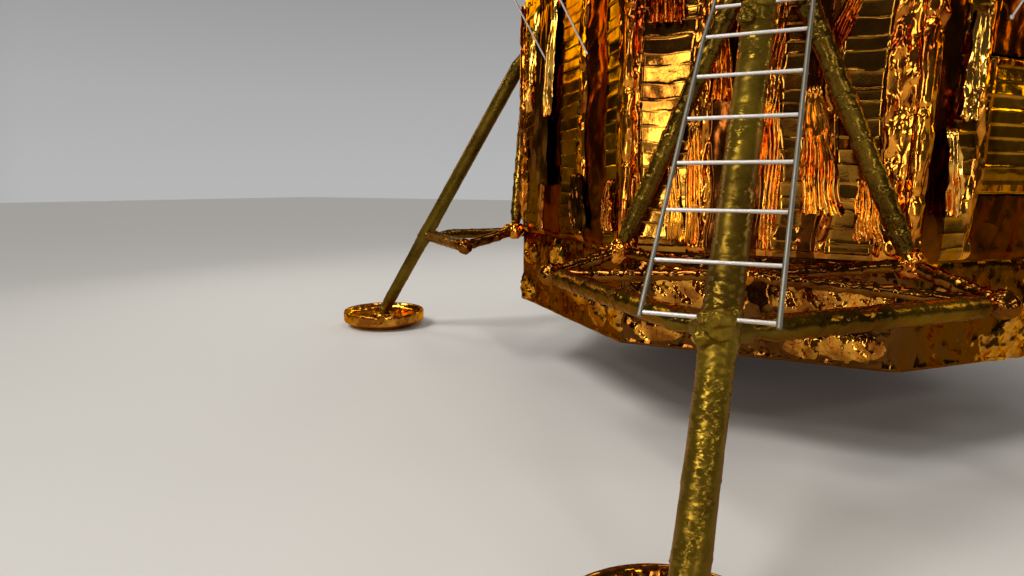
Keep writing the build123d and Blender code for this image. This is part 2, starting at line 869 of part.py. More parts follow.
panes = []
for sign in (-1, 1):
    with BuildPart() as pane:
        with BuildSketch(facet_plane(sign, (cabin_wall + pane_thickness) / 2)):
            with BuildLine():
                FilletPolyline(*[(sign * x, y) for x, y in window_outline], radius=window_round, close=True)
            make_face()
            offset(amount=-seat)
        extrude(amount=pane_thickness)
    panes.append(pane.part)
with BuildPart() as window_panes:
    add(panes)
save(window_panes, "window_panes")

# Midsection behind the cabin, open to it
mid_outside = block((-mid_half, -mid_back, mid_bottom), (mid_half, mid_back, mid_top))
mid_inside = block(
    (-mid_half + mid_wall, -mid_back + mid_wall, mid_bottom + mid_wall),
    (mid_half - mid_wall, mid_back - mid_wall, mid_top - mid_wall),
)
with BuildPart() as mid_cabin:
    add(mid_outside)
    add(mid_inside, mode=Mode.SUBTRACT)
    with BuildSketch(Plane.XZ.offset(mid_back - mid_wall * 2)):
        with Locations((0, cabin_centre)):
            Circle(passage_radius)
    extrude(amount=mid_wall * 3, mode=Mode.SUBTRACT)
    with BuildSketch(Plane.XY.offset(mid_top - mid_wall * 2)):
        Circle(tunnel_bore)
    extrude(amount=mid_wall * 3, mode=Mode.SUBTRACT)
save(mid_cabin, "mid_cabin")

# Docking tunnel with its ring
with BuildPart() as docking_tunnel:
    with BuildSketch(Plane.XY.offset(mid_top + seat)):
        Circle(tunnel_bore + tunnel_wall)
    extrude(amount=tunnel_top - mid_top - seat)
    with BuildSketch(Plane.XY.offset(tunnel_top - ring_height)):
        Circle(ring_radius)
    extrude(amount=ring_height)
    with BuildSketch(Plane.XY.offset(mid_top)):
        Circle(tunnel_bore)
    extrude(amount=tunnel_top - mid_top, mode=Mode.SUBTRACT)
save(docking_tunnel, "docking_tunnel")

# Top hatch, hung under the roof at its rear edge
roof_inside = mid_top - mid_wall
top_hatch_top = roof_inside - seat
top_pin_z = top_hatch_top - top_hatch_thickness / 2
with BuildPart() as top_hatch:
    with BuildSketch(Plane.XY.offset(top_hatch_top - top_hatch_thickness)):
        Circle(top_hatch_radius)
    extrude(amount=top_hatch_thickness)
    with BuildSketch(Plane.YZ.offset(-top_knuckle_half)):
        with Locations((top_pin_place, top_pin_z)):
            Circle(top_knuckle_radius)
        with Locations((top_pin_place - top_pin_radius * 4, top_pin_z)):
            Rectangle(top_pin_radius * 8, top_knuckle_radius)
    extrude(amount=2 * top_knuckle_half)
    with BuildSketch(Plane.YZ.offset(-2 * top_knuckle_half)):
        with Locations((top_pin_place, top_pin_z)):
            Circle(top_pin_radius + running)
    extrude(amount=4 * top_knuckle_half, mode=Mode.SUBTRACT)
save(top_hatch, "top_hatch")

with BuildPart() as hatch_hinge:
    with BuildSketch(Plane.YZ.offset(-top_knuckle_half - top_knuckle_radius * 2)):
        with Locations((top_pin_place, top_pin_z)):
            Circle(top_pin_radius)
    extrude(amount=2 * top_knuckle_half + top_knuckle_radius * 4)
    for sign in (-1, 1):
        side = sign * (top_knuckle_half + top_knuckle_radius)
        low_y, high_y = top_pin_place - top_knuckle_radius, top_pin_place + top_knuckle_radius
        low_z = top_pin_z - top_knuckle_radius
        lug_half = top_knuckle_radius - seat * 2
        with Locations((side, top_pin_place, (low_z + roof_inside - seat) / 2)):
            Box(2 * lug_half, high_y - low_y, roof_inside - seat - low_z)
save(hatch_hinge, "hatch_hinge")

# Ascent engine: its cover inside the midsection and its bell below
with BuildPart() as engine_cover:
    with BuildSketch(Plane.XY.offset(mid_bottom + mid_wall + seat)):
        Circle(cover_radius)
    extrude(amount=cover_height)
save(engine_cover, "engine_cover")

with BuildPart() as ascent_engine:
    with BuildSketch(Plane.XZ):
        with BuildLine():
            ThreePointArc(ascent_bell_exit, ascent_bell_belly, ascent_bell_throat)
            crown_z = mid_bottom - seat
            Polyline(ascent_bell_throat, (ascent_bell_throat[0], crown_z), (0, crown_z))
            Polyline((0, crown_z), (0, ascent_bell_exit[1]), ascent_bell_exit)
        make_face()
    revolve(axis=Axis.Z)
save(ascent_engine, "ascent_engine")

# Propellant tank bays at the midsection's sides
for name, sign, (centre_x, centre_z, corner_radius) in (("right", 1, right_tank), ("left", -1, left_tank)):
    with BuildPart() as tank:
        with BuildSketch(Plane.XZ.offset(-tank_length / 2)):
            with Locations((sign * centre_x, centre_z)):
                RegularPolygon(corner_radius / cos(radians(22.5)), 8, rotation=22.5)
        extrude(amount=tank_length)
        chamfer(tank.faces().sort_by(Axis.Y)[0].edges() + tank.faces().sort_by(Axis.Y)[-1].edges(), tank_chamfer)
        split(bisect_by=Plane.YZ.offset(sign * (mid_half + seat)), keep=Keep.TOP if sign > 0 else Keep.BOTTOM)
    save(tank, "tank_bulge_" + name)

# Aft equipment bay
aft_form = block((-aft_half, mid_back + seat, aft_bottom), (aft_half, mid_back + aft_depth, aft_top))
with BuildPart() as aft_bay:
    add(aft_form)
    chamfer(aft_bay.faces().sort_by(Axis.Y)[-1].edges(), aft_chamfer)
save(aft_bay, "aft_bay")

# Posts between the stages, and the chocks under the cabin drum
posts = []
for sx, sy in CORNERS:
    foot = Vector(sx * post_place, sy * post_place, deck_top + post_knob + seat)
    head = Vector(sx * (mid_half - post_inset), sy * (mid_back - post_inset), mid_bottom - post_knob - seat)
    posts.append(knobbed_rod(foot, head, post_radius, post_knob))
with BuildPart() as stage_posts:
    add(posts)
save(stage_posts, "stage_posts")

# Thruster clusters at the ascent stage's corners
clusters = []
arms = []
for sx, sy in CORNERS:
    centre = Vector(sx * cluster_reach, sy * cluster_reach, cluster_height)
    ways = (Vector(0, 0, 1), Vector(0, 0, -1), Vector(sx, 0, 0), Vector(0, sy, 0))
    with BuildPart() as cluster:
        with Locations(centre):
            Box(2 * cluster_half, 2 * cluster_half, 2 * cluster_half)
        for way in ways:
            side = Vector(-sy, sx, 0).cross(way).normalized() if way.Z else way.cross(Vector(0, 0, 1))
            start = centre + way * (cluster_half - nozzle_wall)
            with BuildSketch(Plane(origin=start, x_dir=side, z_dir=side.cross(way))):
                Polygon(
                    (0, 0),
                    (nozzle_throat, 0),
                    (nozzle_exit, nozzle_length),
                    (nozzle_exit - nozzle_wall, nozzle_length),
                    (nozzle_throat - nozzle_wall, nozzle_floor),
                    (0, nozzle_floor),
                    align=None,
                )
            revolve(axis=Axis(start, way))
    clusters.append(cluster.part)
    corner = centre - Vector(sx * (cluster_half + seat), sy * (cluster_half + seat), 0)
    if sy < 0:
        rise = cluster_height - cabin_centre
        foot = Vector(sx * sqrt((cabin_radius + arm_knob + seat) ** 2 - rise**2), -front_arm_place, cluster_height)
    else:
        foot = Vector(sx * (aft_half + arm_knob + seat), rear_arm_place, cluster_height)
    arms.append(ball(foot, arm_knob))
    arms.append(coned_bar(foot, corner, arm_radius, arm_end_radius, arm_cone, arm_knob + seat))
with BuildPart() as thruster_clusters:
    add(clusters)
save(thruster_clusters, "thruster_clusters")
with BuildPart() as thruster_arms:
    add(arms)
save(thruster_arms, "thruster_arms")


# Dishes: each is a bowl between the arms of a fork that turns on a pin
def bowl(x, y, z, rim):
    """A shallow round bowl with its rim at y, bulging towards +Y."""
    curve = (rim**2 + dish_depth**2) / (2 * dish_depth)
    with BuildPart() as made:
        with Locations((x, y + dish_depth - curve, z)):
            Sphere(curve)
            Sphere(curve - dish_wall, mode=Mode.SUBTRACT)
        split(bisect_by=Plane.XZ.offset(-y), keep=Keep.BOTTOM)
    return made.part


def dish(x, y, z, radius, hollow_bowl):
    """A dish facing -Y with its band, feed and trunnion bosses."""
    back = y + dish_band / 2
    vertex = back + dish_depth
    reach = radius + fork_gap - 2 * hinge_gap
    with BuildPart() as made:
        add(hollow_bowl)
        with BuildSketch(Plane.XZ.offset(-back)):
            with Locations((x, z)):
                Circle(radius)
                Circle(radius - dish_rim, mode=Mode.SUBTRACT)
        extrude(amount=dish_band)
        with BuildSketch(Plane.XZ.offset(-vertex + dish_wall / 2)):
            with Locations((x, z)):
                Circle(feed_radius)
        extrude(amount=dish_depth + feed_length)
        with BuildSketch(Plane.XZ.offset(-vertex + dish_depth + feed_length)):
            with Locations((x, z)):
                Circle(feed_cap)
        extrude(amount=dish_wall)
        for sign in (-1, 1):
            with BuildSketch(Plane.YZ.offset(x + sign * (radius - dish_wall))):
                with Locations((y, z)):
                    Circle(trunnion_boss)
            extrude(amount=sign * (reach - radius + dish_wall))
            with BuildSketch(Plane.YZ.offset(x + sign * (radius + dish_wall / 2))):
                with Locations((y, z)):
                    Circle(trunnion_radius + running)
            extrude(amount=sign * fork_gap, mode=Mode.SUBTRACT)
    return made.part


def fork(x, y, z, radius):
    """A fork whose floor turns on a pin and whose arms carry two trunnions."""
    inside = radius + fork_gap
    floor = z - radius - fork_drop
    with BuildPart() as made:
        with Locations((x, y, floor - fork_wall / 2)):
            Box(2 * (inside + fork_wall), fork_depth, fork_wall)
        for sign in (-1, 1):
            with Locations((x + sign * (inside + fork_wall / 2), y, (z + trunnion_boss + floor - fork_wall) / 2)):
                Box(fork_wall, fork_depth, z + trunnion_boss - floor + fork_wall)
            with BuildSketch(Plane.YZ.offset(x + sign * (inside + fork_wall / 2))):
                with Locations((y, z)):
                    Circle(trunnion_radius)
            extrude(amount=-sign * (fork_wall / 2 + fork_gap - dish_wall))
        with BuildSketch(Plane.XY.offset(floor - 2 * fork_wall)):
            with Locations((x, y)):
                Circle(turn_pin_radius + running)
        extrude(amount=fork_wall + turn_pin_height + turn_pin_top_gap, mode=Mode.SUBTRACT)
    return made.part


def fork_base(z, radius):
    """The height of the seat under a fork."""
    return z - radius - fork_drop - fork_wall - seat


radar_seat = fork_base(radar_centre, radar_radius)
with BuildPart() as radar_pedestal:
    with BuildSketch(Plane.XY.offset(cabin_centre + cabin_radius + seat)):
        with Locations((0, radar_y)):
            Rectangle(2 * radar_pedestal_half, 2 * radar_pedestal_half)
    with BuildSketch(Plane.XY.offset(radar_seat)):
        with Locations((0, radar_y)):
            Rectangle(radar_pedestal_half, radar_pedestal_half)
    loft()
    with BuildSketch(Plane.XY.offset(radar_seat)):
        with Locations((0, radar_y)):
            Circle(turn_pin_radius)
    extrude(amount=turn_pin_height)
save(radar_pedestal, "radar_pedestal")

radar_fork_form = fork(0, radar_y, radar_centre, radar_radius)
with BuildPart() as radar_fork:
    add(radar_fork_form)
save(radar_fork, "radar_fork")
radar_bowl = bowl(0, radar_y + dish_band / 2, radar_centre, radar_radius - dish_wall / 2)
radar_dish_form = dish(0, radar_y, radar_centre, radar_radius, radar_bowl)
with BuildPart() as radar_dish:
    add(radar_dish_form)
save(radar_dish, "radar_dish")

antenna_seat = fork_base(antenna_centre, antenna_radius)
mast_foot = Vector(mast_foot_x, 0, mid_top + mast_foot_height)
mast_head = Vector(antenna_x, 0, antenna_seat - mast_radius)
with BuildPart() as antenna_mast:
    with Locations((mast_foot_x, 0, mid_top + seat + mast_foot_height / 2)):
        Box(2 * mast_foot_half, 2 * mast_foot_half, mast_foot_height)
    with BuildSketch(Plane(origin=mast_foot, z_dir=mast_head - mast_foot)):
        Circle(mast_radius)
    extrude(amount=(mast_head - mast_foot).length)
    with BuildSketch(Plane.XY.offset(antenna_seat - mast_radius * 2)):
        with Locations((antenna_x, 0)):
            Circle(mast_cap_radius)
    extrude(amount=mast_radius * 2)
    with BuildSketch(Plane.XY.offset(antenna_seat)):
        with Locations((antenna_x, 0)):
            Circle(turn_pin_radius)
    extrude(amount=turn_pin_height)
save(antenna_mast, "antenna_mast")

antenna_fork_form = fork(antenna_x, 0, antenna_centre, antenna_radius)
with BuildPart() as antenna_fork:
    add(antenna_fork_form)
save(antenna_fork, "antenna_fork")
antenna_bowl = bowl(antenna_x, dish_band / 2, antenna_centre, antenna_radius - dish_wall / 2)
antenna_dish_form = dish(antenna_x, 0, antenna_centre, antenna_radius, antenna_bowl)
with BuildPart() as antenna_dish:
    add(antenna_dish_form)
save(antenna_dish, "antenna_dish")

# Whip antennas on the roof
with BuildPart() as whip_antennas:
    for x, y in WHIPS:
        with BuildSketch(Plane.XY.offset(mid_top + seat)):
            with Locations((x, y)):
                Circle(whip_foot_radius)
        extrude(amount=whip_foot_height)
        with BuildSketch(Plane.XY.offset(mid_top + whip_foot_height)):
            with Locations((x, y)):
                Circle(whip_radius)
        extrude(amount=whip_length)
save(whip_antennas, "whip_antennas")
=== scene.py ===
import math

import bmesh
import bpy
import numpy as np
from mathutils import Euler, Matrix, Vector


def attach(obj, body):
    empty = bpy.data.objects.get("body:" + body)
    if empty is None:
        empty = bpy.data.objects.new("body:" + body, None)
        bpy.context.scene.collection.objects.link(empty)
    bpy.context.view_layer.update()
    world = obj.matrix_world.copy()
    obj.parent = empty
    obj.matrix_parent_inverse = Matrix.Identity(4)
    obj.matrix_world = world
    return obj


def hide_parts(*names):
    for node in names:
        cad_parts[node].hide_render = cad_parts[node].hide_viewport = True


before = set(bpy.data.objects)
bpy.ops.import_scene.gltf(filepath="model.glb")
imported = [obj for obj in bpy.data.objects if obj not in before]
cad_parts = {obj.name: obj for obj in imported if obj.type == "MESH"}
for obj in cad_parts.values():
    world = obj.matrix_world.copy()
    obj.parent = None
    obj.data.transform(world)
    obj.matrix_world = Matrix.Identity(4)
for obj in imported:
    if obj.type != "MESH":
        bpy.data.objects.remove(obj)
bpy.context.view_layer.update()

# Camera, floor and lights
# The camera stands at eye height in front of the ladder and a little to its right, turned left and down.
# A pale floor runs into a pale backdrop behind the lander; the side that the camera looks from is darker.
# Tall and wide soft boxes give the film its glints.
camera_data = bpy.data.cameras.new("camera")
camera_data.lens = 22.31
camera_data.sensor_width = 36
camera_data.clip_end = 200
camera = bpy.data.objects.new("camera", camera_data)
turn = Euler((math.radians(90 - 9.17), 0, math.radians(24.69))).to_matrix()
turn = turn @ Matrix.Rotation(math.radians(0.32), 3, "Z")
camera.matrix_world = Matrix.Translation((0.270, -6.144, 1.652)) @ turn.to_4x4()
bpy.context.scene.collection.objects.link(camera)
bpy.context.scene.camera = camera


def shader(name):
    """A new material with its node tree and its surface shader."""
    made = bpy.data.materials.new(name)
    made.use_nodes = True
    return made, made.node_tree, made.node_tree.nodes["Principled BSDF"]


def connect(node, inputs):
    """Feeds a node's inputs with values or with other nodes' outputs."""
    for key, value in inputs.items():
        if isinstance(value, bpy.types.NodeSocket):
            node.id_data.links.new(value, node.inputs[key])
        else:
            node.inputs[key].default_value = value
    return node


def add(tree, kind, inputs, **settings):
    """One more node with its settings and inputs."""
    made = tree.nodes.new("ShaderNode" + kind)
    for key, value in settings.items():
        setattr(made, key, value)
    return connect(made, inputs)


def ranged(tree, value, low, high, to_low=0.0, to_high=1.0, **settings):
    """A value brought from one range to another."""
    limits = {"Value": value, "From Min": low, "From Max": high, "To Min": to_low, "To Max": to_high}
    return add(tree, "MapRange", limits, **settings).outputs["Result"]


def blend(tree, share, first, second):
    """A colour between two others."""
    return add(tree, "Mix", {"Factor": share, "A": first, "B": second}, data_type="RGBA").outputs["Result"]


floor_mesh = bpy.data.meshes.new("floor")
floor_half = 60
floor_corners = [(x * floor_half, y * floor_half, 0) for x, y in ((-1, -1), (1, -1), (1, 1), (-1, 1))]
floor_mesh.from_pydata(floor_corners, [], [(0, 1, 2, 3)])
floor = bpy.data.objects.new("floor", floor_mesh)
bpy.context.scene.collection.objects.link(floor)
floor_paint, tree, surface = shader("floor_paint")
connect(surface, {"Base Color": (0.70, 0.69, 0.67, 1), "Roughness": 0.85})
floor_mesh.materials.append(floor_paint)


def backdrop_ramp(tree, height, stops):
    """A colour by height: stops are (height, grey)."""
    shades = add(tree, "ValToRGB", {"Fac": height})
    ramp = shades.color_ramp
    while len(ramp.elements) < len(stops):
        ramp.elements.new(0.5)
    for element, (place, grey) in zip(ramp.elements, stops):
        element.position = place
        element.color = (grey, grey, grey * 1.01, 1)
    return shades.outputs["Color"]


world = bpy.data.worlds.new("studio")
bpy.context.scene.world = world
world.use_nodes = True
tree = world.node_tree
way = add(tree, "TexCoord", {}).outputs["Generated"]
parts = add(tree, "SeparateXYZ", {"Vector": way})
behind = ranged(tree, parts.outputs["Y"], 0.26, 0.48, interpolation_type="SMOOTHSTEP")
pale = backdrop_ramp(tree, parts.outputs["Z"], ((0.0, 0.47), (0.12, 0.42), (0.45, 0.20), (0.95, 0.10)))
dark = backdrop_ramp(tree, parts.outputs["Z"], ((0.0, 0.11), (0.12, 0.05), (0.50, 0.035), (0.95, 0.10)))
connect(tree.nodes["Background"], {"Color": blend(tree, behind, dark, pale)})

bpy.context.scene.view_settings.view_transform = "Standard"
bpy.context.scene.view_settings.look = "None"
sky = bpy.data.lights.new("overhead_wash", "SUN")
sky.energy = 1.7
sky.angle = math.radians(24)
sky.color = (1.0, 0.97, 0.92)
wash = bpy.data.objects.new("overhead_wash", sky)
wash.rotation_euler = Vector((-0.50, -0.62, 1)).to_track_quat("Z", "Y").to_euler()
bpy.context.scene.collection.objects.link(wash)

# place, width, height, brightness
SOFT_BOXES = (
    ((-5.2, -8.2, 5.4), 3.4, 0.7, 9),
    ((-2.4, -10.2, 2.5), 0.8, 3.2, 12),
    ((4.2, -9.8, 2.4), 0.8, 3.0, 12),
    ((6.5, -7.0, 5.2), 2.6, 0.8, 8),
    ((0.5, -9.5, 7.0), 4.0, 0.5, 9),
    ((-9.5, 1.5, 5.5), 1.6, 3.0, 6),
    ((9.5, 2.0, 5.5), 1.6, 3.0, 6),
    ((-4.5, 9.5, 6.0), 1.6, 3.0, 6),
    ((5.0, 9.0, 6.5), 1.6, 3.0, 6),
    ((0.0, 0.0, 12.5), 5.0, 5.0, 3),
)
for number, (place, width, tall, bright) in enumerate(SOFT_BOXES):
    lamp = bpy.data.lights.new("soft_box_%d" % number, "AREA")
    lamp.shape = "RECTANGLE"
    lamp.size = width
    lamp.size_y = tall
    lamp.energy = bright * math.pi * width * tall
    lamp.color = (1.0, 0.95, 0.86)
    box = bpy.data.objects.new(lamp.name, lamp)
    box.location = place
    box.rotation_euler = (Vector((0, 0, 2.2)) - Vector(place)).to_track_quat("-Z", "Y").to_euler()
    bpy.context.scene.collection.objects.link(box)

# Clad bays
# Square and three-cornered bays, covered with crinkled metal-coated plastic film.
# The film hangs in strips: sheets with level packing creases, plain dark sheets whose near-black colour is
# painted shade, and bunched upright folds.
# It is taped down all round each face.
LEG_HALF = 0.790
# from the middle of the lander to a leg face, and below to a corner face
APOTHEM = 2.070
DIAGONAL = (LEG_HALF + APOTHEM) / math.sqrt(2)
DIAGONAL_HALF = (APOTHEM - LEG_HALF) / math.sqrt(2)
BAY_BOTTOM, BAY_TOP = 1.240, 3.200


def object_place(tree):
    """Where a point lies on its own piece."""
    return add(tree, "TexCoord", {}).outputs["Object"]


def noise(tree, place, scale, detail, roughness=0.5, output="Fac"):
    """Cloudy noise from 0 to 1."""
    inputs = {"Vector": place, "Scale": scale, "Detail": detail, "Roughness": roughness}
    return add(tree, "TexNoise", inputs).outputs[output]


def vector(tree, operation, value, other):
    """One step of vector arithmetic; to scale, the other is a number."""
    second = "Scale" if operation == "SCALE" else 1
    return add(tree, "VectorMath", {0: value, second: other}, operation=operation).outputs[0]


def film(name, bright, deep, facet, tilt, rough, patch, stretch, calm=0.6, shine=1.0, dulled=1.0,
         glance=(1.0, 0.55, 0.20)):
    """Crinkled metal-coated film: flat facets that tilt the shine, calm places, patches of deeper colour."""
    made, tree, surface = shader(name)
    place = object_place(tree)
    middle = (0.5, 0.5, 0.5)
    drift = vector(tree, "SUBTRACT", noise(tree, place, 7.0, 2.0, output="Color"), middle)
    bent = vector(tree, "ADD", place, vector(tree, "SCALE", drift, 0.03))
    bent = vector(tree, "MULTIPLY", bent, stretch)
    quiet = noise(tree, place, 5.0, 1.0)
    calm_to_lively = (0.42, 0.58)
    gate = ranged(tree, quiet, *calm_to_lively, calm)
    normal = add(tree, "NewGeometry", {}).outputs["Normal"]
    for size, amount in ((facet, tilt), (facet * 0.36, tilt * 0.55)):
        cells = add(tree, "TexVoronoi", {"Vector": bent, "Scale": 1 / size}).outputs["Color"]
        lean = vector(tree, "SCALE", vector(tree, "SUBTRACT", cells, middle), amount)
        normal = vector(tree, "ADD", normal, vector(tree, "SCALE", lean, gate))
    normal = add(tree, "VectorMath", {0: normal}, operation="NORMALIZE").outputs[0]
    grain = noise(tree, bent, 60.0, 3.0)
    bump = add(tree, "Bump", {"Strength": 0.2, "Distance": 0.002, "Height": grain, "Normal": normal})
    share = ranged(tree, noise(tree, place, patch, 4.0, 0.65), 0.38, 0.62)
    dull = ranged(tree, grain, 0.0, 1.0, rough * 0.75, rough * 1.4)
    calmed = ranged(tree, quiet, *calm_to_lively, dulled)
    connect(surface, {
        "Base Color": blend(tree, share, (*deep, 1), (*bright, 1)),
        "Metallic": shine,
        "Roughness": add(tree, "Math", {0: dull, 1: calmed}, operation="MULTIPLY").outputs["Value"],
        "IOR": 1.25,
        "Specular Tint": (*glance, 1),
        "Normal": bump.outputs["Normal"],
    })
    return made


amber_film = film("amber_film", (0.84, 0.30, 0.028), (0.26, 0.045, 0.006), 0.055, 0.24, 0.12, 3.0,
                  (1.0, 1.0, 0.42))
creased_film = film("creased_film", (0.50, 0.215, 0.024), (0.17, 0.055, 0.007), 0.20, 0.040, 0.11, 2.2,
                    (1.0, 1.0, 1.3))
# The film coloured near black, for the plain strips and the bays behind the film: painted shade.
painted_shade_film = film("painted_shade_film", (0.17, 0.045, 0.006), (0.07, 0.018, 0.003), 0.16, 0.09, 0.14, 2.5,
                 (1.0, 1.0, 0.6), glance=(0.72, 0.42, 0.14))
# A darker copy of the creased film for the front left corner face: painted shade.
painted_shade_creased_film = film("painted_shade_creased_film", (0.24, 0.115, 0.013), (0.10, 0.038, 0.005), 0.16, 0.06, 0.12, 2.2,
                 (1.0, 1.0, 1.3), glance=(0.72, 0.47, 0.17))


def dress(finish, *nodes):
    """Gives modelled parts their material."""
    for node in nodes:
        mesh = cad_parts[node].data
        mesh.materials.clear()
        mesh.materials.append(finish)


def crumple(points, size, seed, levels):
    """How far crumpled film stands off at each point, about -1 to 1: flat facets between sharp creases."""
    draw = np.random.default_rng(seed)
    total = np.zeros(points.shape[:-1])
    for level in range(levels):
        cell = size / 2.1**level
        bent = points + 0.3 * cell * np.sin(points[..., [1, 2, 0]] * 2.1 / cell + draw.uniform(0, 6.28, 3))
        for _ in range(4):
            direction = draw.normal(size=3)
            direction /= np.linalg.norm(direction)
            phase = bent @ direction / (cell * draw.uniform(0.9, 1.9)) + draw.uniform()
            fold = np.abs(phase - np.round(phase)) * 4 - 1
            gate = 0.5 + 0.5 * np.sin(points @ draw.normal(size=3) * 1.3 / cell + draw.uniform(0, 6.28))
            total += fold * gate / 2.0**level
    return total / 2.4


def grid(points, around=False):
    """Corners and quads of a sheet over rows of points; around joins its sides into a tube."""
    rows, columns = points.shape[:2]
    index = np.arange(rows * columns).reshape(rows, columns)
    left = index if around else index[:, :-1]
    right = np.roll(index, -1, 1) if around else index[:, 1:]
    quads = np.stack([left[:-1], right[:-1], right[1:], left[1:]], -1).reshape(-1, 4)
    return points.reshape(-1, 3), quads


def fitted(name, mesh, finishes, body, replaced):
    """One named piece: its finishes, the body that it rides on and the modelled parts that it replaces."""
    for finish in finishes:
        mesh.materials.append(finish)
    made = bpy.data.objects.new(name, mesh)
    bpy.context.scene.collection.objects.link(made)
    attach(made, body)
    if replaced:
        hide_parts(*replaced)
    return made


def piece(name, parts, finishes, body="lander", replaced=()):
    """One named piece from parts of corners, faces and perhaps each face's finish."""
    if not isinstance(finishes, list):
        finishes = [finishes]
    corners, faces, picks, count = [], [], [], 0
    for points, part_faces, *part_picks in parts:
        corners.append(np.asarray(points, float))
        faces += [[int(i) + count for i in face] for face in part_faces]
        picks += [int(i) for i in part_picks[0]] if part_picks else [0] * len(part_faces)
        count += len(points)
    mesh = bpy.data.meshes.new(name)
    mesh.from_pydata(np.concatenate(corners).tolist(), [], faces)
    mesh.shade_smooth()
    made = fitted(name, mesh, finishes, body, replaced)
    if len(finishes) > 1:
        mesh.polygons.foreach_set("material_index", picks)
    return made


def smooth_noise(value, seed):
    """A slow wave along one direction, about -1 to 1."""
    draw = np.random.default_rng(seed)
    return sum(np.sin(value * draw.uniform(1.0, 9.0) + draw.uniform(0, 6.28)) for _ in range(4)) / 2.5


def face_frame(turn_degrees):
    """The middle of a leg face or corner face at the ground, the way along it and the way out of it."""
    a = math.radians(turn_degrees)
    outward = np.array([math.sin(a), -math.cos(a), 0.0])
    along = np.array([math.cos(a), math.sin(a), 0.0])
    return outward * (APOTHEM if turn_degrees % 90 == 0 else DIAGONAL), along, outward


def on_face(turn_degrees, u, z, stand):
    """Points at a place along a face, a height and a distance off it."""
    origin, along, outward = face_frame(turn_degrees)
    return origin + u[..., None] * along + z[..., None] * (0, 0, 1) + stand[..., None] * outward


# The ways in which a strip of film lies
CREASED, PLAIN, BUNCHED, PLEATED = range(4)
FILM_INSET = 0.012
CREASE_HALF = 0.0045
# Plain strips take the near-black film, which is painted shade.
FACE_FINISHES = [creased_film, painted_shade_film, amber_film]
FINISH_OF_STRIP = np.array([0, 1, 2, 2])


def strip_height(kind, u, z, bands, band_ends, flat, seed):
    """How far one strip of the film stands off its face."""
    draw = np.random.default_rng(seed)
    if kind == CREASED:
        middle = (band_ends[bands] + band_ends[bands + 1]) / 2
        level = draw.uniform(-0.085, 0.075, len(band_ends))[bands] * (z - middle)
        skewed = draw.uniform(-0.05, 0.05, len(band_ends))[bands] * (u - u.mean())
        ridge = np.exp(-np.minimum(z - band_ends[bands], band_ends[bands + 1] - z) / 0.004)
        proud = 0.0025 + 0.002 * smooth_noise(u * 5 + band_ends[bands] * 7, seed)
        return 0.014 + level + skewed + proud * ridge + 0.0012 * crumple(flat, 0.12, seed, 2)
    if kind == PLAIN:
        return 0.011 + 0.010 * crumple(flat * (1, 0.5, 1), 0.22, seed, 3)
    if kind == BUNCHED:
        return 0.026 + 0.022 * crumple(flat * (1, 0.38, 1), 0.075, seed, 2)
    phase = (u + 0.02 * smooth_noise(z * 1.4, seed)) / 0.042
    pleats = np.abs(phase - np.round(phase)) * 4 - 1
    return 0.022 + 0.013 * pleats + 0.006 * crumple(flat * (1, 0.3, 1), 0.08, seed, 2)


def clad_face(name, turn_degrees, strips, seed, fine, opening=None, finishes=FACE_FINISHES):
    """A face's film. strips are (left edge, kind); the last one only closes the row."""
    draw = np.random.default_rng(seed)
    edges = np.array([edge for edge, _ in strips])
    half = edges[-1]
    creases = np.cumsum(draw.uniform(0.062, 0.105, 40)) + BAY_BOTTOM
    creases = creases[creases < BAY_TOP - 0.05]
    band_ends = np.concatenate([[BAY_BOTTOM - 0.02], creases, [BAY_TOP + 0.02]])
    rows = [np.arange(BAY_BOTTOM + 0.004, BAY_TOP - 0.003, 0.016 / fine)]
    rows += [creases + shift for shift in (-CREASE_HALF, 0.0, CREASE_HALF)]
    rows = np.unique(np.round(np.concatenate(rows), 4))
    columns = [np.array([-half + FILM_INSET, half - FILM_INSET])]
    for (low, kind), (high, _) in zip(strips, strips[1:]):
        width = {CREASED: 0.022, PLAIN: 0.020, BUNCHED: 0.0095, PLEATED: 0.009}[kind] / fine
        columns.append(np.linspace(low, high, max(3, int((high - low) / width)), endpoint=False) + 0.001)
        columns.append(np.array([low - 0.004]))
    columns = np.unique(np.round(np.concatenate(columns), 4))
    columns = columns[np.abs(columns) <= half - FILM_INSET]
    u, z = np.meshgrid(columns, rows)
    bands = np.clip(np.searchsorted(band_ends, z) - 1, 0, len(band_ends) - 2)
    flat = np.stack([u, z, np.full(u.shape, seed * 1.7)], -1)
    which = np.clip(np.searchsorted(edges, u) - 1, 0, len(edges) - 2)
    stand = np.zeros(u.shape)
    for number, (_, kind) in enumerate(strips[:-1]):
        in_strip = (which == number).any(0)
        if in_strip.any():
            part = (slice(None), in_strip)
            strip_seed = seed * 31 + number
            stand[part] = strip_height(kind, u[part], z[part], bands[part], band_ends, flat[part], strip_seed)
    rim = np.minimum(np.minimum(u + half, half - u), np.minimum(z - BAY_BOTTOM, BAY_TOP - z))
    stand = np.maximum(stand, 0.002) * np.clip(rim / 0.03, 0.12, 1)
    swing = np.clip(rim / 0.15, 0, 1)
    across = u + 0.020 * swing * smooth_noise(z * 1.1, seed + 3)
    upward = z + 0.010 * swing * smooth_noise(u * 2.5, seed + 4)
    corners, quads = grid(on_face(turn_degrees, across, upward, stand))
    kinds = np.array([kind for _, kind in strips])[which][:-1, :-1].ravel()
    picks = FINISH_OF_STRIP[kinds]
    if opening:
        left, right, bottom, top = opening
        x, y = np.stack([across, upward], -1).reshape(-1, 2)[quads].mean(1).T
        outside = ~((x > left) & (x < right) & (y > bottom) & (y < top))
        quads, picks = quads[outside], picks[outside]
        used = np.unique(quads)
        renumber = np.zeros(len(corners), int)
        renumber[used] = np.arange(len(used))
        corners, quads = corners[used], renumber[quads]
    return piece(name, [(corners, quads, picks)], finishes)
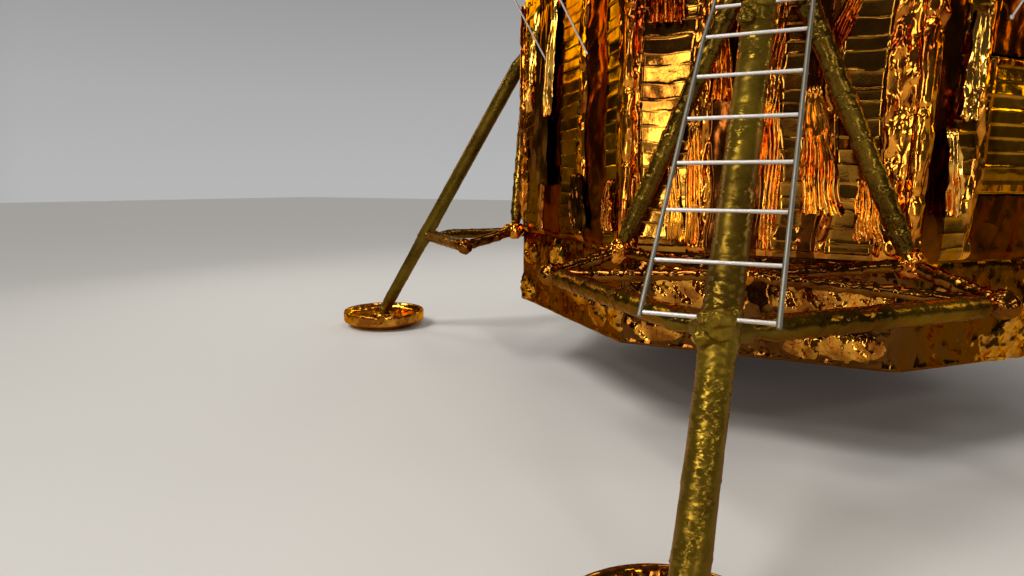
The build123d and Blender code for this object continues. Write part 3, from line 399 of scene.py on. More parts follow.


# The bays behind the film are coloured near black: painted shade in the gaps between the sheets.
dress(painted_shade_film, "engine_bay", "tank_bays", "corner_bays", "equipment_bay")
FRONT_STRIPS = ((-0.790, BUNCHED), (-0.715, CREASED), (-0.395, BUNCHED), (-0.285, PLAIN), (-0.150, BUNCHED),
                (-0.075, PLAIN), (0.015, PLEATED), (0.105, CREASED), (0.235, PLAIN), (0.330, BUNCHED),
                (0.395, CREASED), (0.625, BUNCHED), (0.790, PLAIN))
clad_face("leg_face_film_front", 0, FRONT_STRIPS, 21, 1.0)
SIDE_STRIPS = ((-0.790, BUNCHED), (-0.68, CREASED), (-0.30, BUNCHED), (-0.20, PLAIN), (-0.02, PLEATED),
               (0.08, CREASED), (0.36, BUNCHED), (0.45, PLAIN), (0.66, BUNCHED), (0.790, PLAIN))
for name, turn_degrees, seed in (("right", 90, 31), ("rear", 180, 41), ("left", 270, 51)):
    clad_face("leg_face_film_" + name, turn_degrees, SIDE_STRIPS, seed, 0.6)
LEFT_STRIPS = ((-DIAGONAL_HALF, BUNCHED), (-0.81, CREASED), (-0.52, PLEATED), (-0.42, PLAIN),
               (-0.10, CREASED), (0.22, BUNCHED), (0.31, PLAIN), (0.62, CREASED), (0.80, BUNCHED),
               (DIAGONAL_HALF, PLAIN))
clad_face("corner_face_film_front_left", 315, LEFT_STRIPS, 61, 0.85,
          finishes=[painted_shade_creased_film, painted_shade_film, amber_film])
# left, right, bottom and top of the tray's opening
TRAY_GAP = (-0.441, 0.441, 1.604, 2.386)
RIGHT_STRIPS = ((-DIAGONAL_HALF, BUNCHED), (-0.83, PLAIN), (-0.66, CREASED), (-0.50, BUNCHED), (-0.44, PLAIN),
                (0.44, BUNCHED), (0.54, CREASED), (0.80, BUNCHED), (DIAGONAL_HALF, PLAIN))
clad_face("corner_face_film_front_right", 45, RIGHT_STRIPS, 71, 0.85, TRAY_GAP)
REAR_STRIPS = ((-DIAGONAL_HALF, BUNCHED), (-0.78, CREASED), (-0.40, BUNCHED), (-0.30, PLAIN),
               (-0.06, PLEATED), (0.04, CREASED), (0.40, PLAIN), (0.60, BUNCHED), (0.68, CREASED),
               (DIAGONAL_HALF, PLAIN))
for name, turn_degrees, seed in (("rear_right", 135, 81), ("rear_left", 225, 91)):
    clad_face("corner_face_film_" + name, turn_degrees, REAR_STRIPS, seed, 0.6)

# Hanging sheets
# Loose sheets and fans of film hang in front of the bays, taped at the top and folded upright.
# They catch the light more than the film behind them; some take a brighter film as painted highlight and some
# a brown film as painted shade.
# A brighter copy of the amber film for some hanging sheets: painted highlight.
painted_highlight_film = film("painted_highlight_film", (1.0, 0.56, 0.10), (0.72, 0.26, 0.03), 0.09, 0.09, 0.10, 5.0,
                   (1.0, 1.0, 0.5))
# A dark brown copy of the film for some sheets, the web tubes, the side knobs and the skirt's frame: painted
# shade.
painted_shade_brown_film = film("painted_shade_brown_film", (0.24, 0.09, 0.012), (0.11, 0.033, 0.005), 0.14, 0.12, 0.14, 4.0,
                  (1.0, 1.0, 0.6), glance=(0.80, 0.46, 0.16))


def hanging_sheet(turn_degrees, top, bottom, top_width, bottom_width, folds, depth, seed, rows=56,
                  columns=30):
    """A folded sheet from its top place to its bottom place, both (along the face, height)."""
    draw = np.random.default_rng(seed)
    down, over = np.meshgrid(np.linspace(0, 1, rows), np.linspace(-1, 1, columns), indexing="ij")
    width = top_width + (bottom_width - top_width) * down**0.8
    u = top[0] + (bottom[0] - top[0]) * down + over * width / 2 * (1 + 0.12 * smooth_noise(down * 2.2, seed))
    z = top[1] + (bottom[1] - top[1]) * down + 0.02 * down * smooth_noise(over * 3, seed + 1)
    flat = np.stack([u, z, over * 0 + seed * 0.9], -1)
    phase = over * folds / 2 + 0.25 * smooth_noise(down * 1.5, seed + 2) + draw.uniform()
    wave = np.abs(phase - np.round(phase)) * 4 - 1
    swell = np.sin(np.clip(down * 1.25, 0, 1) * np.pi / 2)
    wrinkles = 0.009 * crumple(flat * (1, 0.4, 1), 0.10, seed, 2)
    stand = 0.030 + depth * (0.25 + 0.75 * swell) * (0.6 + 0.5 * wave) + wrinkles
    stand = stand * (1 - 0.75 * np.exp(-down / 0.03))
    corners, quads = grid(on_face(turn_degrees, u, z, np.maximum(stand, 0.012)))
    return corners, quads[:, ::-1]


def finished(part, number):
    """A part whose faces all take one of the piece's finishes."""
    return part[0], part[1], [number] * len(part[1])


# top place, bottom place, top width, bottom width, folds, depth, finish
FRONT_SHEETS = (
    ((-0.385, 2.05), (-0.360, 1.30), 0.05, 0.11, 3, 0.030, 0),
    ((-0.500, 1.78), (-0.470, 1.32), 0.06, 0.12, 3, 0.030, 0),
    ((0.055, 2.30), (-0.010, 1.72), 0.07, 0.06, 2, 0.035, 0),
    ((0.255, 2.22), (0.350, 1.50), 0.06, 0.25, 4, 0.045, 0),
    ((0.560, 1.70), (0.600, 1.36), 0.09, 0.16, 4, 0.035, 0),
    ((-0.250, 2.70), (-0.225, 2.16), 0.05, 0.13, 4, 0.030, 1),
    ((0.460, 2.75), (0.300, 2.26), 0.12, 0.07, 3, 0.030, 1),
    ((-0.620, 3.10), (-0.560, 2.62), 0.16, 0.22, 4, 0.045, 1),
    ((0.150, 3.15), (0.140, 2.70), 0.10, 0.18, 4, 0.040, 1),
)
LEFT_SHEETS = (
    ((-0.560, 3.12), (-0.640, 2.28), 0.10, 0.13, 2, 0.050, 0),
    ((-0.180, 3.12), (-0.300, 2.20), 0.08, 0.12, 2, 0.050, 0),
    ((-0.380, 3.12), (-0.440, 1.66), 0.24, 0.34, 3, 0.030, 2),
    ((0.740, 1.70), (0.755, 1.36), 0.05, 0.15, 5, 0.045, 1),
    ((0.200, 1.75), (0.300, 1.34), 0.18, 0.26, 3, 0.030, 2),
)
RIGHT_SHEETS = (
    ((-0.560, 2.60), (-0.600, 2.02), 0.10, 0.15, 3, 0.035, 0),
    ((-0.700, 1.98), (-0.650, 1.50), 0.08, 0.14, 3, 0.035, 0),
    ((0.640, 3.05), (0.600, 1.90), 0.14, 0.20, 4, 0.040, 1),
    ((0.720, 1.80), (0.700, 1.34), 0.12, 0.20, 4, 0.035, 2),
)
# The sheets' finishes: the brighter film as painted highlight, the amber film, and the brown film as painted
# shade.
SHEET_FINISHES = [painted_highlight_film, amber_film, painted_shade_brown_film]
for name, turn_degrees, sheets in (("front", 0, FRONT_SHEETS), ("front_left", 315, LEFT_SHEETS),
                                   ("front_right", 45, RIGHT_SHEETS)):
    hung = []
    for number, (*shape, finish) in enumerate(sheets):
        hung.append(finished(hanging_sheet(turn_degrees, *shape, turn_degrees + number), finish))
    piece("hanging_sheets_" + name, hung, SHEET_FINISHES)
draw = np.random.default_rng(8)
hung = []
for turn_degrees in (90, 135, 180, 225, 270):
    for number in range(5):
        u = -0.55 + number * 0.27 + draw.uniform(-0.06, 0.06)
        height, drop = draw.uniform(2.1, 3.1), draw.uniform(0.4, 0.75)
        # The fuel cask stands here.
        if turn_degrees == 225 and abs(u - 0.21) < 0.3:
            continue
        foot = (u + draw.uniform(-0.05, 0.05), height - drop)
        sheet = hanging_sheet(turn_degrees, (u, height), foot, 0.08, draw.uniform(0.12, 0.24), 4, 0.035,
                              turn_degrees + number, 28, 18)
        hung.append(finished(sheet, int(draw.integers(0, 3))))
piece("hanging_sheets_sides", hung, SHEET_FINISHES)

# Corner rolls
# The film of two faces meets at each upright corner, where it is gathered into a roll.
# Long folds run down it, pinched in at the tapes that hold it.
ROLL_BOTTOM = 1.345


def even_angles(count):
    """Angles spread evenly all the way round."""
    return np.arange(count) / count * 2 * np.pi


def tube(start, end, radii, columns, step, ripple):
    """A wrapped tube. radii gives (share of its length, radius); ripple gives what is added to its radius."""
    start, end = np.array(start, float), np.array(end, float)
    length = np.linalg.norm(end - start)
    axis = (end - start) / length
    side = np.cross(axis, (0, 0, 1) if abs(axis[2]) < 0.9 else (1, 0, 0))
    side /= np.linalg.norm(side)
    other = np.cross(axis, side)
    rows = np.linspace(0, length, max(3, int(length / step)))
    run, angle = np.meshgrid(rows, even_angles(columns), indexing="ij")
    shares, sizes = zip(*radii)
    radius = np.interp(run / length, shares, sizes)
    middle = start + run[..., None] * axis
    way = np.cos(angle)[..., None] * side + np.sin(angle)[..., None] * other
    radius = radius + ripple(run, angle, radius, middle + way * radius[..., None])
    return grid(middle + way * radius[..., None], around=True)


def roll_ripple(seed):
    """Long upright folds and level pinches."""
    def ripple(run, angle, radius, points):
        folds = 0.012 * crumple(points * (1, 1, 0.22), 0.06, seed, 3)
        pinch = -0.012 * np.exp(-((((run + 0.1 * seed) % 0.46) - 0.2) / 0.022) ** 2)
        ends = np.clip(run / 0.16, 0, 1) * 0.4 + 0.6
        return folds + pinch + radius * (ends - 1)
    return ripple


rolls = []
for number, turn_degrees in enumerate(range(0, 360, 90)):
    origin, along, outward = face_frame(turn_degrees)
    for sign in (-1, 1):
        foot = origin + along * sign * LEG_HALF + outward * 0.006
        step = 0.013 if number == 0 else 0.030
        low, high = foot + (0, 0, ROLL_BOTTOM), foot + (0, 0, BAY_TOP - 0.014)
        rolls.append(tube(low, high, ((0, 0.03), (0.05, 0.044), (1, 0.046)), 24, step,
                          roll_ripple(number * 2 + sign + 3)))
piece("corner_rolls_film", rolls, amber_film, replaced=("corner_rolls",))

# Skirt under the bays
# A loose curtain of film round the engine's well, with its hem folded under; its colour is dark brown where
# it lies flat, as painted shade.
# It stands out in crumpled patches whose colour stays gold, as painted highlight.
SKIRT_BOTTOM = 0.620
CLOSE_FACES = (0, 7, 1)
# Each patch stands out crumpled, and there the film's colour stays gold as painted highlight.
# place on the front face, height, half width, half height
BRIGHT_PATCHES = (
    (-0.42, 1.02, 0.20, 0.13), (-0.14, 1.04, 0.10, 0.12), (0.22, 1.02, 0.12, 0.11), (0.52, 0.99, 0.22, 0.12),
    (0.32, 0.72, 0.10, 0.07), (0.55, 0.73, 0.16, 0.08), (-0.55, 0.72, 0.16, 0.06), (-0.20, 0.70, 0.14, 0.05),
)


def face_half(turn_degrees):
    """Half the width of a leg face or of a corner face."""
    return LEG_HALF if turn_degrees % 90 == 0 else DIAGONAL_HALF


def skirt_face(number, step):
    """One face of the skirt, and how far its film stands out at each corner, which also places the painted
    highlight.
    """
    half, seed = face_half(number * 45), 100 + number
    draw = np.random.default_rng(seed)
    rows = np.arange(SKIRT_BOTTOM - 0.004, BAY_BOTTOM - 0.002, step)
    columns = np.linspace(-half - 0.01, half + 0.01, int(2 * half / step))
    u, z = np.meshgrid(columns, rows)
    flat = np.stack([u, z, np.full(u.shape, seed * 1.3)], -1)
    patches = BRIGHT_PATCHES
    if number:
        patches = [(draw.uniform(-half, half), draw.uniform(0.68, 1.1), draw.uniform(0.1, 0.25), 0.10)
                   for _ in range(7)]
    loose_and_highlight = np.zeros(u.shape)
    for place, height, wide, tall in patches:
        away = ((u - place) / wide) ** 2 + ((z - height) / tall) ** 2 + 0.5 * crumple(flat, 0.2, seed + 9, 1)
        loose_and_highlight = np.maximum(loose_and_highlight, np.clip(1.5 - away, 0, 1))
    crumpled = loose_and_highlight * (0.016 + 0.024 * crumple(flat * (1, 0.8, 1), 0.085, seed + 1, 3))
    stand = 0.012 + 0.010 * crumple(flat * (0.7, 1, 1), 0.30, seed, 2) + crumpled
    hem = np.exp(-((z - SKIRT_BOTTOM - 0.012) / 0.010) ** 2)
    edge = np.minimum(np.minimum(u + half + 0.01, half + 0.01 - u), BAY_BOTTOM - z)
    stand = np.maximum(stand + 0.006 * hem, 0.002) * np.clip(edge / 0.03, 0.1, 1)
    corners, quads = grid(on_face(number * 45, u, z, stand))
    return corners, quads, loose_and_highlight.ravel()


skirt_film = film("skirt_film", (0.88, 0.40, 0.045), (0.28, 0.085, 0.010), 0.085, 0.30, 0.11, 4.0,
                  (1.0, 1.0, 0.8), 0.6)
# Where the film stands out, its colour stays gold as painted highlight; elsewhere it turns dark brown as
# painted shade.
tree = skirt_film.node_tree
surface = tree.nodes["Principled BSDF"]
place = object_place(tree)
facets = add(tree, "TexVoronoi", {"Vector": place, "Scale": 16.0}).outputs["Color"]
share = add(tree, "Attribute", {}, attribute_name="loose_and_highlight").outputs["Fac"]
for pattern, weight in ((noise(tree, place, 14.0, 4.0), 1.6), (facets, 0.45)):
    share = add(tree, "Math", {0: pattern, 1: weight, 2: share}, operation="MULTIPLY_ADD").outputs["Value"]
share = ranged(tree, share, 1.40, 1.52, interpolation_type="SMOOTHSTEP")
gold = surface.inputs["Base Color"].links[0].from_socket
connect(surface, {"Base Color": blend(tree, share, (0.105, 0.038, 0.006, 1), gold)})
skirt, looseness_and_highlight = [], []
for number in range(8):
    corners, quads, loose_and_highlight = skirt_face(number, 0.012 if number in CLOSE_FACES else 0.030)
    skirt.append((corners, quads))
    looseness_and_highlight.append(loose_and_highlight)
made = piece("base_skirt_film", skirt, skirt_film)
made.data.attributes.new("loose_and_highlight", "FLOAT", "POINT").data.foreach_set("value", np.concatenate(looseness_and_highlight))
# The skirt's frame takes the dark brown film: painted shade.
dress(painted_shade_brown_film, "base_skirt")

# Gear trusses
# Film-wrapped tubes between lumpy joints, which carry the top of the main strut and the side struts.
# The wrap is wound on in short lengths that wrinkle into rings.
LEGS = (("front", 0), ("right", 90), ("rear", 180), ("left", 270))
olive_film = film("olive_film", (0.185, 0.115, 0.010), (0.085, 0.047, 0.005), 0.036, 0.30, 0.19, 2.0,
                  (1.0, 1.0, 2.2), 0.25, 0.62, 1.9)
# A darker copy of the olive film for the truss tubes and side struts, which stand in shade: painted shade.
painted_shade_olive_film = film("painted_shade_olive_film", (0.16, 0.090, 0.010), (0.07, 0.036, 0.005), 0.045, 0.34, 0.17, 2.0,
                 (1.0, 1.0, 1.6), 0.5, 0.92, 1.5)
DECK_TOP = 3.230
BALL = np.array([0, -4.240, 0.170])
APEX_STAND, APEX_DROP = 0.295, 0.1794
STRUT_RISE = DECK_TOP - APEX_DROP - BALL[2]
LEAN = math.atan2(-BALL[1] - APOTHEM - APEX_STAND, STRUT_RISE)
STRUT_UP = np.array([0, math.sin(LEAN), math.cos(LEAN)])
STRUT_OUT = np.array([0, -math.cos(LEAN), math.sin(LEAN)])
APEX_RUN = STRUT_RISE / math.cos(LEAN)
APEX = BALL + STRUT_UP * APEX_RUN
KNEE = np.array([0.805, -2.1563, 1.240])
SIDE = np.array([1.144, -2.500, 1.110])
MIDDLE = np.array([0, -2.600, 1.190])
DECK_KNOB = np.array([0.640, -2.1203, 3.120])


def turned(point, degrees):
    """A point of the front leg turned round to another leg."""
    a = math.radians(degrees)
    x, y, z = point
    return np.array([x * math.cos(a) - y * math.sin(a), x * math.sin(a) + y * math.cos(a), z])


def wrap_ripple(spacing, depth, seed, rough=0.45):
    """Rings where each length of wrap overlaps the next, with wrinkles beside them."""
    draw = np.random.default_rng(seed)
    stops = np.cumsum(draw.uniform(0.6, 1.4, 60)) * spacing

    def ripple(run, angle, radius, points):
        wavy = run + 0.006 * np.sin(angle + seed) + 0.004 * np.sin(3 * angle + seed * 2)
        slot = np.searchsorted(stops, wavy)
        start = np.concatenate([[0], stops])[slot]
        past = wavy - start
        lip = depth * np.exp(-past / 0.05)
        rings = depth * 0.8 * np.abs(np.sin(wavy * math.tau / 0.034 + 0.9 * np.sin(2 * angle + slot)))
        rings *= np.exp(-past / 0.035)
        return lip + rings + depth * rough * crumple(points, 0.05, seed, 2)
    return ripple


def lump(centre, radius, seed, detail, rough=0.10):
    """A crumpled film-wrapped knob."""
    ball = bmesh.new()
    bmesh.ops.create_icosphere(ball, subdivisions=detail, radius=radius)
    points = np.array([v.co for v in ball.verts])
    faces = [[v.index for v in f.verts] for f in ball.faces]
    ball.free()
    points = points * (1 + rough * crumple(points + centre, radius * 0.9, seed, 3))[:, None]
    return points + centre, faces


for leg, angle in LEGS:
    step, columns, detail = (0.011, 26, 5) if leg == "front" else (0.026, 14, 4)
    apex, middle = turned(APEX, angle), turned(MIDDLE, angle)
    parts = [finished(lump(apex, 0.090, 1, detail), 1), finished(lump(middle, 0.057, 2, detail - 1), 1)]
    for sign in (-1, 1):
        knee, side, deck = (turned(p * (sign, 1, 1), angle) for p in (KNEE, SIDE, DECK_KNOB))
        parts.append(finished(lump(knee, 0.082, 3 + sign, detail, 0.16), 1))
        parts.append(finished(lump(side, 0.072, 6 + sign, detail), 2))
        parts.append(finished(lump(deck, 0.049, 9 + sign, detail - 1), 1))
        # ends, radius, depth of the wrinkles, how crumpled, finish
        rods = (
            (apex, knee, 0.052, 0.008, 0.5, 0),
            (apex, deck, 0.035, 0.006, 0.6, 0),
            (knee, side, 0.040, 0.009, 0.9, 2),
            (knee, middle, 0.032, 0.009, 0.9, 2),
            (side, middle, 0.030, 0.008, 0.9, 2),
        )
        for number, (start, end, radius, depth, rough, finish) in enumerate(rods):
            radii = ((0, 0.6 * radius), (0.1, radius), (0.9, radius), (1, 0.6 * radius))
            ripple = wrap_ripple(0.13, depth * 0.8, 12 + number * 2 + sign, rough)
            parts.append(finished(tube(start, end, radii, columns, step, ripple), finish))
    # The upper tubes take the darker olive film, and the web tubes and side knobs the brown film: both
    # painted shade.
    piece("gear_truss_wraps_" + leg, parts, [painted_shade_olive_film, amber_film, painted_shade_brown_film],
          replaced=("gear_truss_" + leg,))

# Main struts and side struts
# A piston sits in a cylinder; both are wound with smooth olive-gold film, taped ring by ring.
# Round the lowest rungs the wrap is crumpled more than elsewhere.
JOINT_RUN = 1.100
STRUT_PROFILE = ((0.0, 0.045), (0.055, 0.050), (0.109, 0.067), (1.005, 0.069), (1.060, 0.078), (1.150, 0.078),
                 (1.240, 0.074), (3.1886, 0.073), (APEX_RUN - 0.06, 0.034), (APEX_RUN, 0.034))


def side_line(angle, sign):
    """Where a side strut leaves the main strut, where it ends, and the way from one to the other."""
    joint = turned(BALL + STRUT_UP * JOINT_RUN, angle)
    side = turned(SIDE * (sign, 1, 1), angle)
    return joint, side, (side - joint) / np.linalg.norm(side - joint)


def strut_ripple(seed):
    """Rings of tape with short crescent wrinkles between them, denser near the lowest rungs."""
    draw = np.random.default_rng(seed)
    stops = np.cumsum(draw.uniform(0.8, 1.2, 40)) * 0.235

    def ripple(run, angle, radius, points):
        wavy = run + 0.012 * np.sin(angle + seed) + 0.006 * np.sin(2 * angle + seed * 2)
        slot = np.searchsorted(stops, wavy)
        past = wavy - np.concatenate([[0], stops])[slot]
        low = np.clip((1.50 - run) / 0.20, 0, 1) * np.clip((run - 0.78) / 0.15, 0, 1)
        lip = 0.0022 * np.exp(-past / 0.04)
        arcs = np.clip(np.sin(wavy * math.tau / 0.031 + 1.7 * np.sin(3 * angle + slot * 2.1)), 0.35, 1) - 0.35
        arcs_share = np.exp(-past / 0.03) * np.clip(np.sin(2 * angle + slot * 1.9 + seed) + 0.5, 0, 1)
        dense = np.clip(np.sin(wavy * math.tau / 0.040 + 1.9 * np.sin(3 * angle + wavy * 9)), 0.1, 1)
        rough = 0.0010 + 0.0022 * low
        wrinkles = 0.0045 * arcs * arcs_share + 0.0038 * low * dense
        return (lip + wrinkles + rough * crumple(points, 0.06, seed, 3)
                + 0.0015 * crumple(points * (1, 1, 0.5), 0.2, seed + 5, 2))
    return ripple


for number, (leg, angle) in enumerate(LEGS):
    columns, step, detail = (48, 0.0075, 4) if leg == "front" else (20, 0.024, 3)
    foot = turned(BALL, angle)
    radii = [(run / APEX_RUN, radius) for run, radius in STRUT_PROFILE]
    parts = [tube(foot, turned(APEX, angle), radii, columns, step, strut_ripple(5 + number)),
             lump(foot, 0.062, 5 + number, detail, 0.03)]
    for sign in (-1, 1):
        joint, _, way = side_line(angle, sign)
        parts.append(tube(joint, joint + way * 0.152, ((0, 0.044), (0.9, 0.044), (1, 0.03)), 20, 0.012,
                          wrap_ripple(0.05, 0.002, 3)))
    piece("main_strut_wrap_" + leg, parts, olive_film, replaced=("main_strut_" + leg,))
side_parts = []
for number, (leg, angle) in enumerate(LEGS):
    columns, step = (28, 0.014) if leg == "front" else (18, 0.030)
    for sign in (-1, 1):
        joint, side, way = side_line(angle, sign)
        side_parts.append(tube(joint + way * 0.149, side - way * 0.06,
                               ((0, 0.022), (0.08, 0.055), (0.92, 0.055), (1, 0.022)), columns, step,
                               wrap_ripple(0.22, 0.003, 30 + number * 2 + sign, 0.3)))
# The side struts take the darker olive film: painted shade.
piece("side_strut_wraps", side_parts, painted_shade_olive_film, replaced=("side_struts",))

# Footpads
# Shallow dished pans, covered with gold film drawn in to the socket of the strut's ball.
# The film is smooth underneath and crinkled over the rim and in the dish.
gold_film = film("gold_film", (0.88, 0.40, 0.045), (0.28, 0.085, 0.010), 0.085, 0.34, 0.11, 4.0,
                 (1.0, 1.0, 0.8), 0.7)
# radius, height, from the middle of the foot round the rim to the socket
PAD_OUTLINE = ((0.02, 0.0005), (0.345, 0.0005), (0.468, 0.066), (0.470, 0.176), (0.462, 0.182),
               (0.446, 0.178), (0.418, 0.121), (0.30, 0.101), (0.151, 0.096), (0.128, 0.142), (0.085, 0.150),
               (0.06, 0.125))


def footpad(centre, columns, seed):
    """One pan, turned from its outline."""
    outline = np.array(PAD_OUTLINE)
    lengths = np.concatenate([[0], np.cumsum(np.linalg.norm(np.diff(outline, axis=0), axis=1))])
    run = np.linspace(0, lengths[-1], 90 if columns > 100 else 50)
    radius, height = np.interp(run, lengths, outline[:, 0]), np.interp(run, lengths, outline[:, 1])
    r, a = np.meshgrid(radius, even_angles(columns), indexing="ij")
    h = np.repeat(height[:, None], columns, 1)
    points = np.stack([r * np.cos(a), r * np.sin(a), h], -1)
    creases = crumple(np.stack([a * 0.5, r * 0.35, h * 0.5], -1), 0.07, seed, 3)
    lift = 0.0045 * creases * np.clip((h - 0.05) / 0.04, 0, 1)
    points[..., 2] += lift * (r < 0.45)
    points[..., :2] *= (1 - np.abs(lift) * 0.8 * (r >= 0.45))[..., None]
    return grid(points[:, ::-1] + centre, around=True)


for number, (leg, angle) in enumerate(LEGS):
    columns = 160 if leg == "front" else 90
    piece("footpad_film_" + leg, [footpad(turned((0, BALL[1], 0), angle), columns, number + 4)], gold_film,
          replaced=("footpad_" + leg,))

# Ladder
# Round rails and rungs of bare aluminium tube on the front strut, which hang a little askew.
# Two brackets hold it, and bandages of crumpled film cover them and the middles of their rungs.
RUNG_STEP, FIRST_RUNG, LADDER_OUT, UPPER_OUT = 0.2286, 1.105, 0.145, 0.100
LADDER_ASIDE, LADDER_SKEW = -0.035, math.tan(math.radians(1.8))


def metal(name, colour, rough, stretch, scale=60.0):
    """Bare metal with drawn streaks and dull handled patches."""
    made, tree, surface = shader(name)
    place = object_place(tree)
    streak = noise(tree, vector(tree, "MULTIPLY", place, stretch), scale, 3.0)
    bump = add(tree, "Bump", {"Strength": 0.15, "Distance": 0.001, "Height": streak})
    dark = tuple(c * 0.72 for c in colour)
    connect(surface, {
        "Base Color": blend(tree, streak, (*dark, 1), (*colour, 1)),
        "Metallic": 1.0,
        "Roughness": ranged(tree, noise(tree, place, 9.0, 4.0), 0.0, 1.0, rough * 0.7, rough * 1.4),
        "Normal": bump.outputs["Normal"],
    })
    return made


bare_aluminium = metal("bare_aluminium", (0.72, 0.68, 0.64), 0.40, (8, 1, 1))
# The rails' aluminium is coloured dark olive grey: painted shade.
painted_shade_rail_aluminium = metal("painted_shade_rail_aluminium", (0.27, 0.25, 0.20), 0.50, (1, 1, 0.1))
dress(bare_aluminium, "ladder_rungs")
dress(painted_shade_rail_aluminium, "ladder_rails")


def rung_middle(rung):
    """The middle of a rung; the lowest seven stand further off the strut."""
    run = (rung - 1) * RUNG_STEP
    middle = BALL + STRUT_UP * (FIRST_RUNG + run) + STRUT_OUT * (LADDER_OUT if rung <= 7 else UPPER_OUT)
    return middle + np.array([LADDER_ASIDE + run * LADDER_SKEW, 0, 0])


def bandage_bulge(run, angle, radius, points):
    """Coarse crumples all over."""
    return 0.013 * crumple(points, 0.06, 4, 3)


bandages = []
for rung, half, thick in ((1, 0.070, 0.036), (8, 0.075, 0.030)):
    middle = rung_middle(rung) * (0, 1, 1)
    on_strut = BALL + STRUT_UP * (FIRST_RUNG + (rung - 1) * RUNG_STEP)
    radii = ((0, 0.012), (0.12, thick * 0.8), (0.5, thick), (0.88, thick * 0.8), (1, 0.012))
    bandages.append(tube(middle - (half, 0, 0), middle + (half, 0, 0), radii, 32, 0.006, bandage_bulge))
    bandages.append(tube(on_strut + STRUT_OUT * 0.05, middle + STRUT_OUT * 0.01,
                         ((0, 0.075), (0.5, 0.062), (1, 0.030)), 40, 0.007, bandage_bulge))
    for shift, size in ((-0.045, 0.042), (0.05, 0.036)):
        knot = on_strut + STRUT_OUT * 0.07 + STRUT_UP * shift + np.array([shift, 0, 0])
        bandages.append(lump(knot, size, rung + 2, 4, 0.3))
piece("ladder_bandages", bandages, olive_film, replaced=("ladder_brackets",))

# Upper deck
# A flat octagon over the bays, faced with dark thermal panels that are screwed down round their edges.
# A band of taped film closes its rim.


def paint(name, colour, rough, wrinkle, scale=30.0):
    """Painted or coated sheet with slight waves and grime."""
    made, tree, surface = shader(name)
    place = object_place(tree)
    cloud = noise(tree, place, 4.0, 6.0)
    dark = tuple(c * 0.72 for c in colour)
    wave = noise(tree, place, scale, 3.0)
    bump = add(tree, "Bump", {"Strength": wrinkle, "Distance": 0.004, "Height": wave})
    connect(surface, {
        "Base Color": blend(tree, cloud, (*dark, 1), (*colour, 1)),
        "Roughness": ranged(tree, cloud, 0.0, 1.0, rough * 0.8, rough * 1.25),
        "Normal": bump.outputs["Normal"],
    })
    return made


black_panel = paint("black_panel", (0.040, 0.040, 0.043), 0.42, 0.45, 9.0)
rivet_metal = metal("rivet_metal", (0.55, 0.53, 0.50), 0.35, (1, 1, 1))
RIVET_SIDES = 6
RIVET_RADIUS, RIVET_SPACING = 0.006, 0.085
SMALLEST_PANEL = 0.01


def sideways(axis):
    """Two unit steps square to an axis and to each other."""
    side = np.cross(axis, (0.3, 0.5, 0.8))
    side /= np.linalg.norm(side)
    return side, np.cross(axis, side)


def rivet(place, outward, radius, parts):
    """A low domed head."""
    outward = np.array(outward, float)
    side, other = sideways(outward)
    angle = even_angles(RIVET_SIDES)
    ring = np.cos(angle)[:, None] * side + np.sin(angle)[:, None] * other
    points = np.concatenate([place + ring * radius, place + ring * radius * 0.6 + outward * radius * 0.45,
                             [place + outward * radius * 0.6]])
    around = np.arange(RIVET_SIDES)
    after = (around + 1) % RIVET_SIDES
    faces = [[a, b, b + RIVET_SIDES, a + RIVET_SIDES] for a, b in zip(around, after)]
    faces += [[a + RIVET_SIDES, b + RIVET_SIDES, 2 * RIVET_SIDES] for a, b in zip(around, after)]
    parts.append((points, faces))


def flat_regions(bm, seams, bend):
    """Groups of neighbouring faces that bend little from one to the next and lie inside the seams."""
    seen, regions = set(), []
    limit = math.radians(bend)
    for face in bm.faces:
        if face.index in seen or face.calc_area() < 1e-9:
            continue
        region, queue = [], [face]
        seen.add(face.index)
        while queue:
            now = queue.pop()
            region.append(now)
            for edge in now.edges:
                if edge[seams] or len(edge.link_faces) != 2:
                    continue
                for other in edge.link_faces:
                    if other.index not in seen and now.normal.angle(other.normal, 4) < limit:
                        seen.add(other.index)
                        queue.append(other)
        if sum(f.calc_area() for f in region) > SMALLEST_PANEL:
            regions.append(region)
    return regions


def rivet_row(edge, face, heads):
    """A row of rivets inside a panel's edge."""
    a, b = edge.verts[0].co, edge.verts[1].co
    inward = face.normal.cross((b - a).normalized())
    if inward.dot(face.calc_center_median() - a) < 0:
        inward.negate()
    count = max(2, round((b - a).length / RIVET_SPACING))
    for step in range(count):
        spot = a + (b - a) * ((step + 0.5) / count) + inward * RIVET_RADIUS * 2.4
        rivet(np.array(spot), face.normal, RIVET_RADIUS, heads)


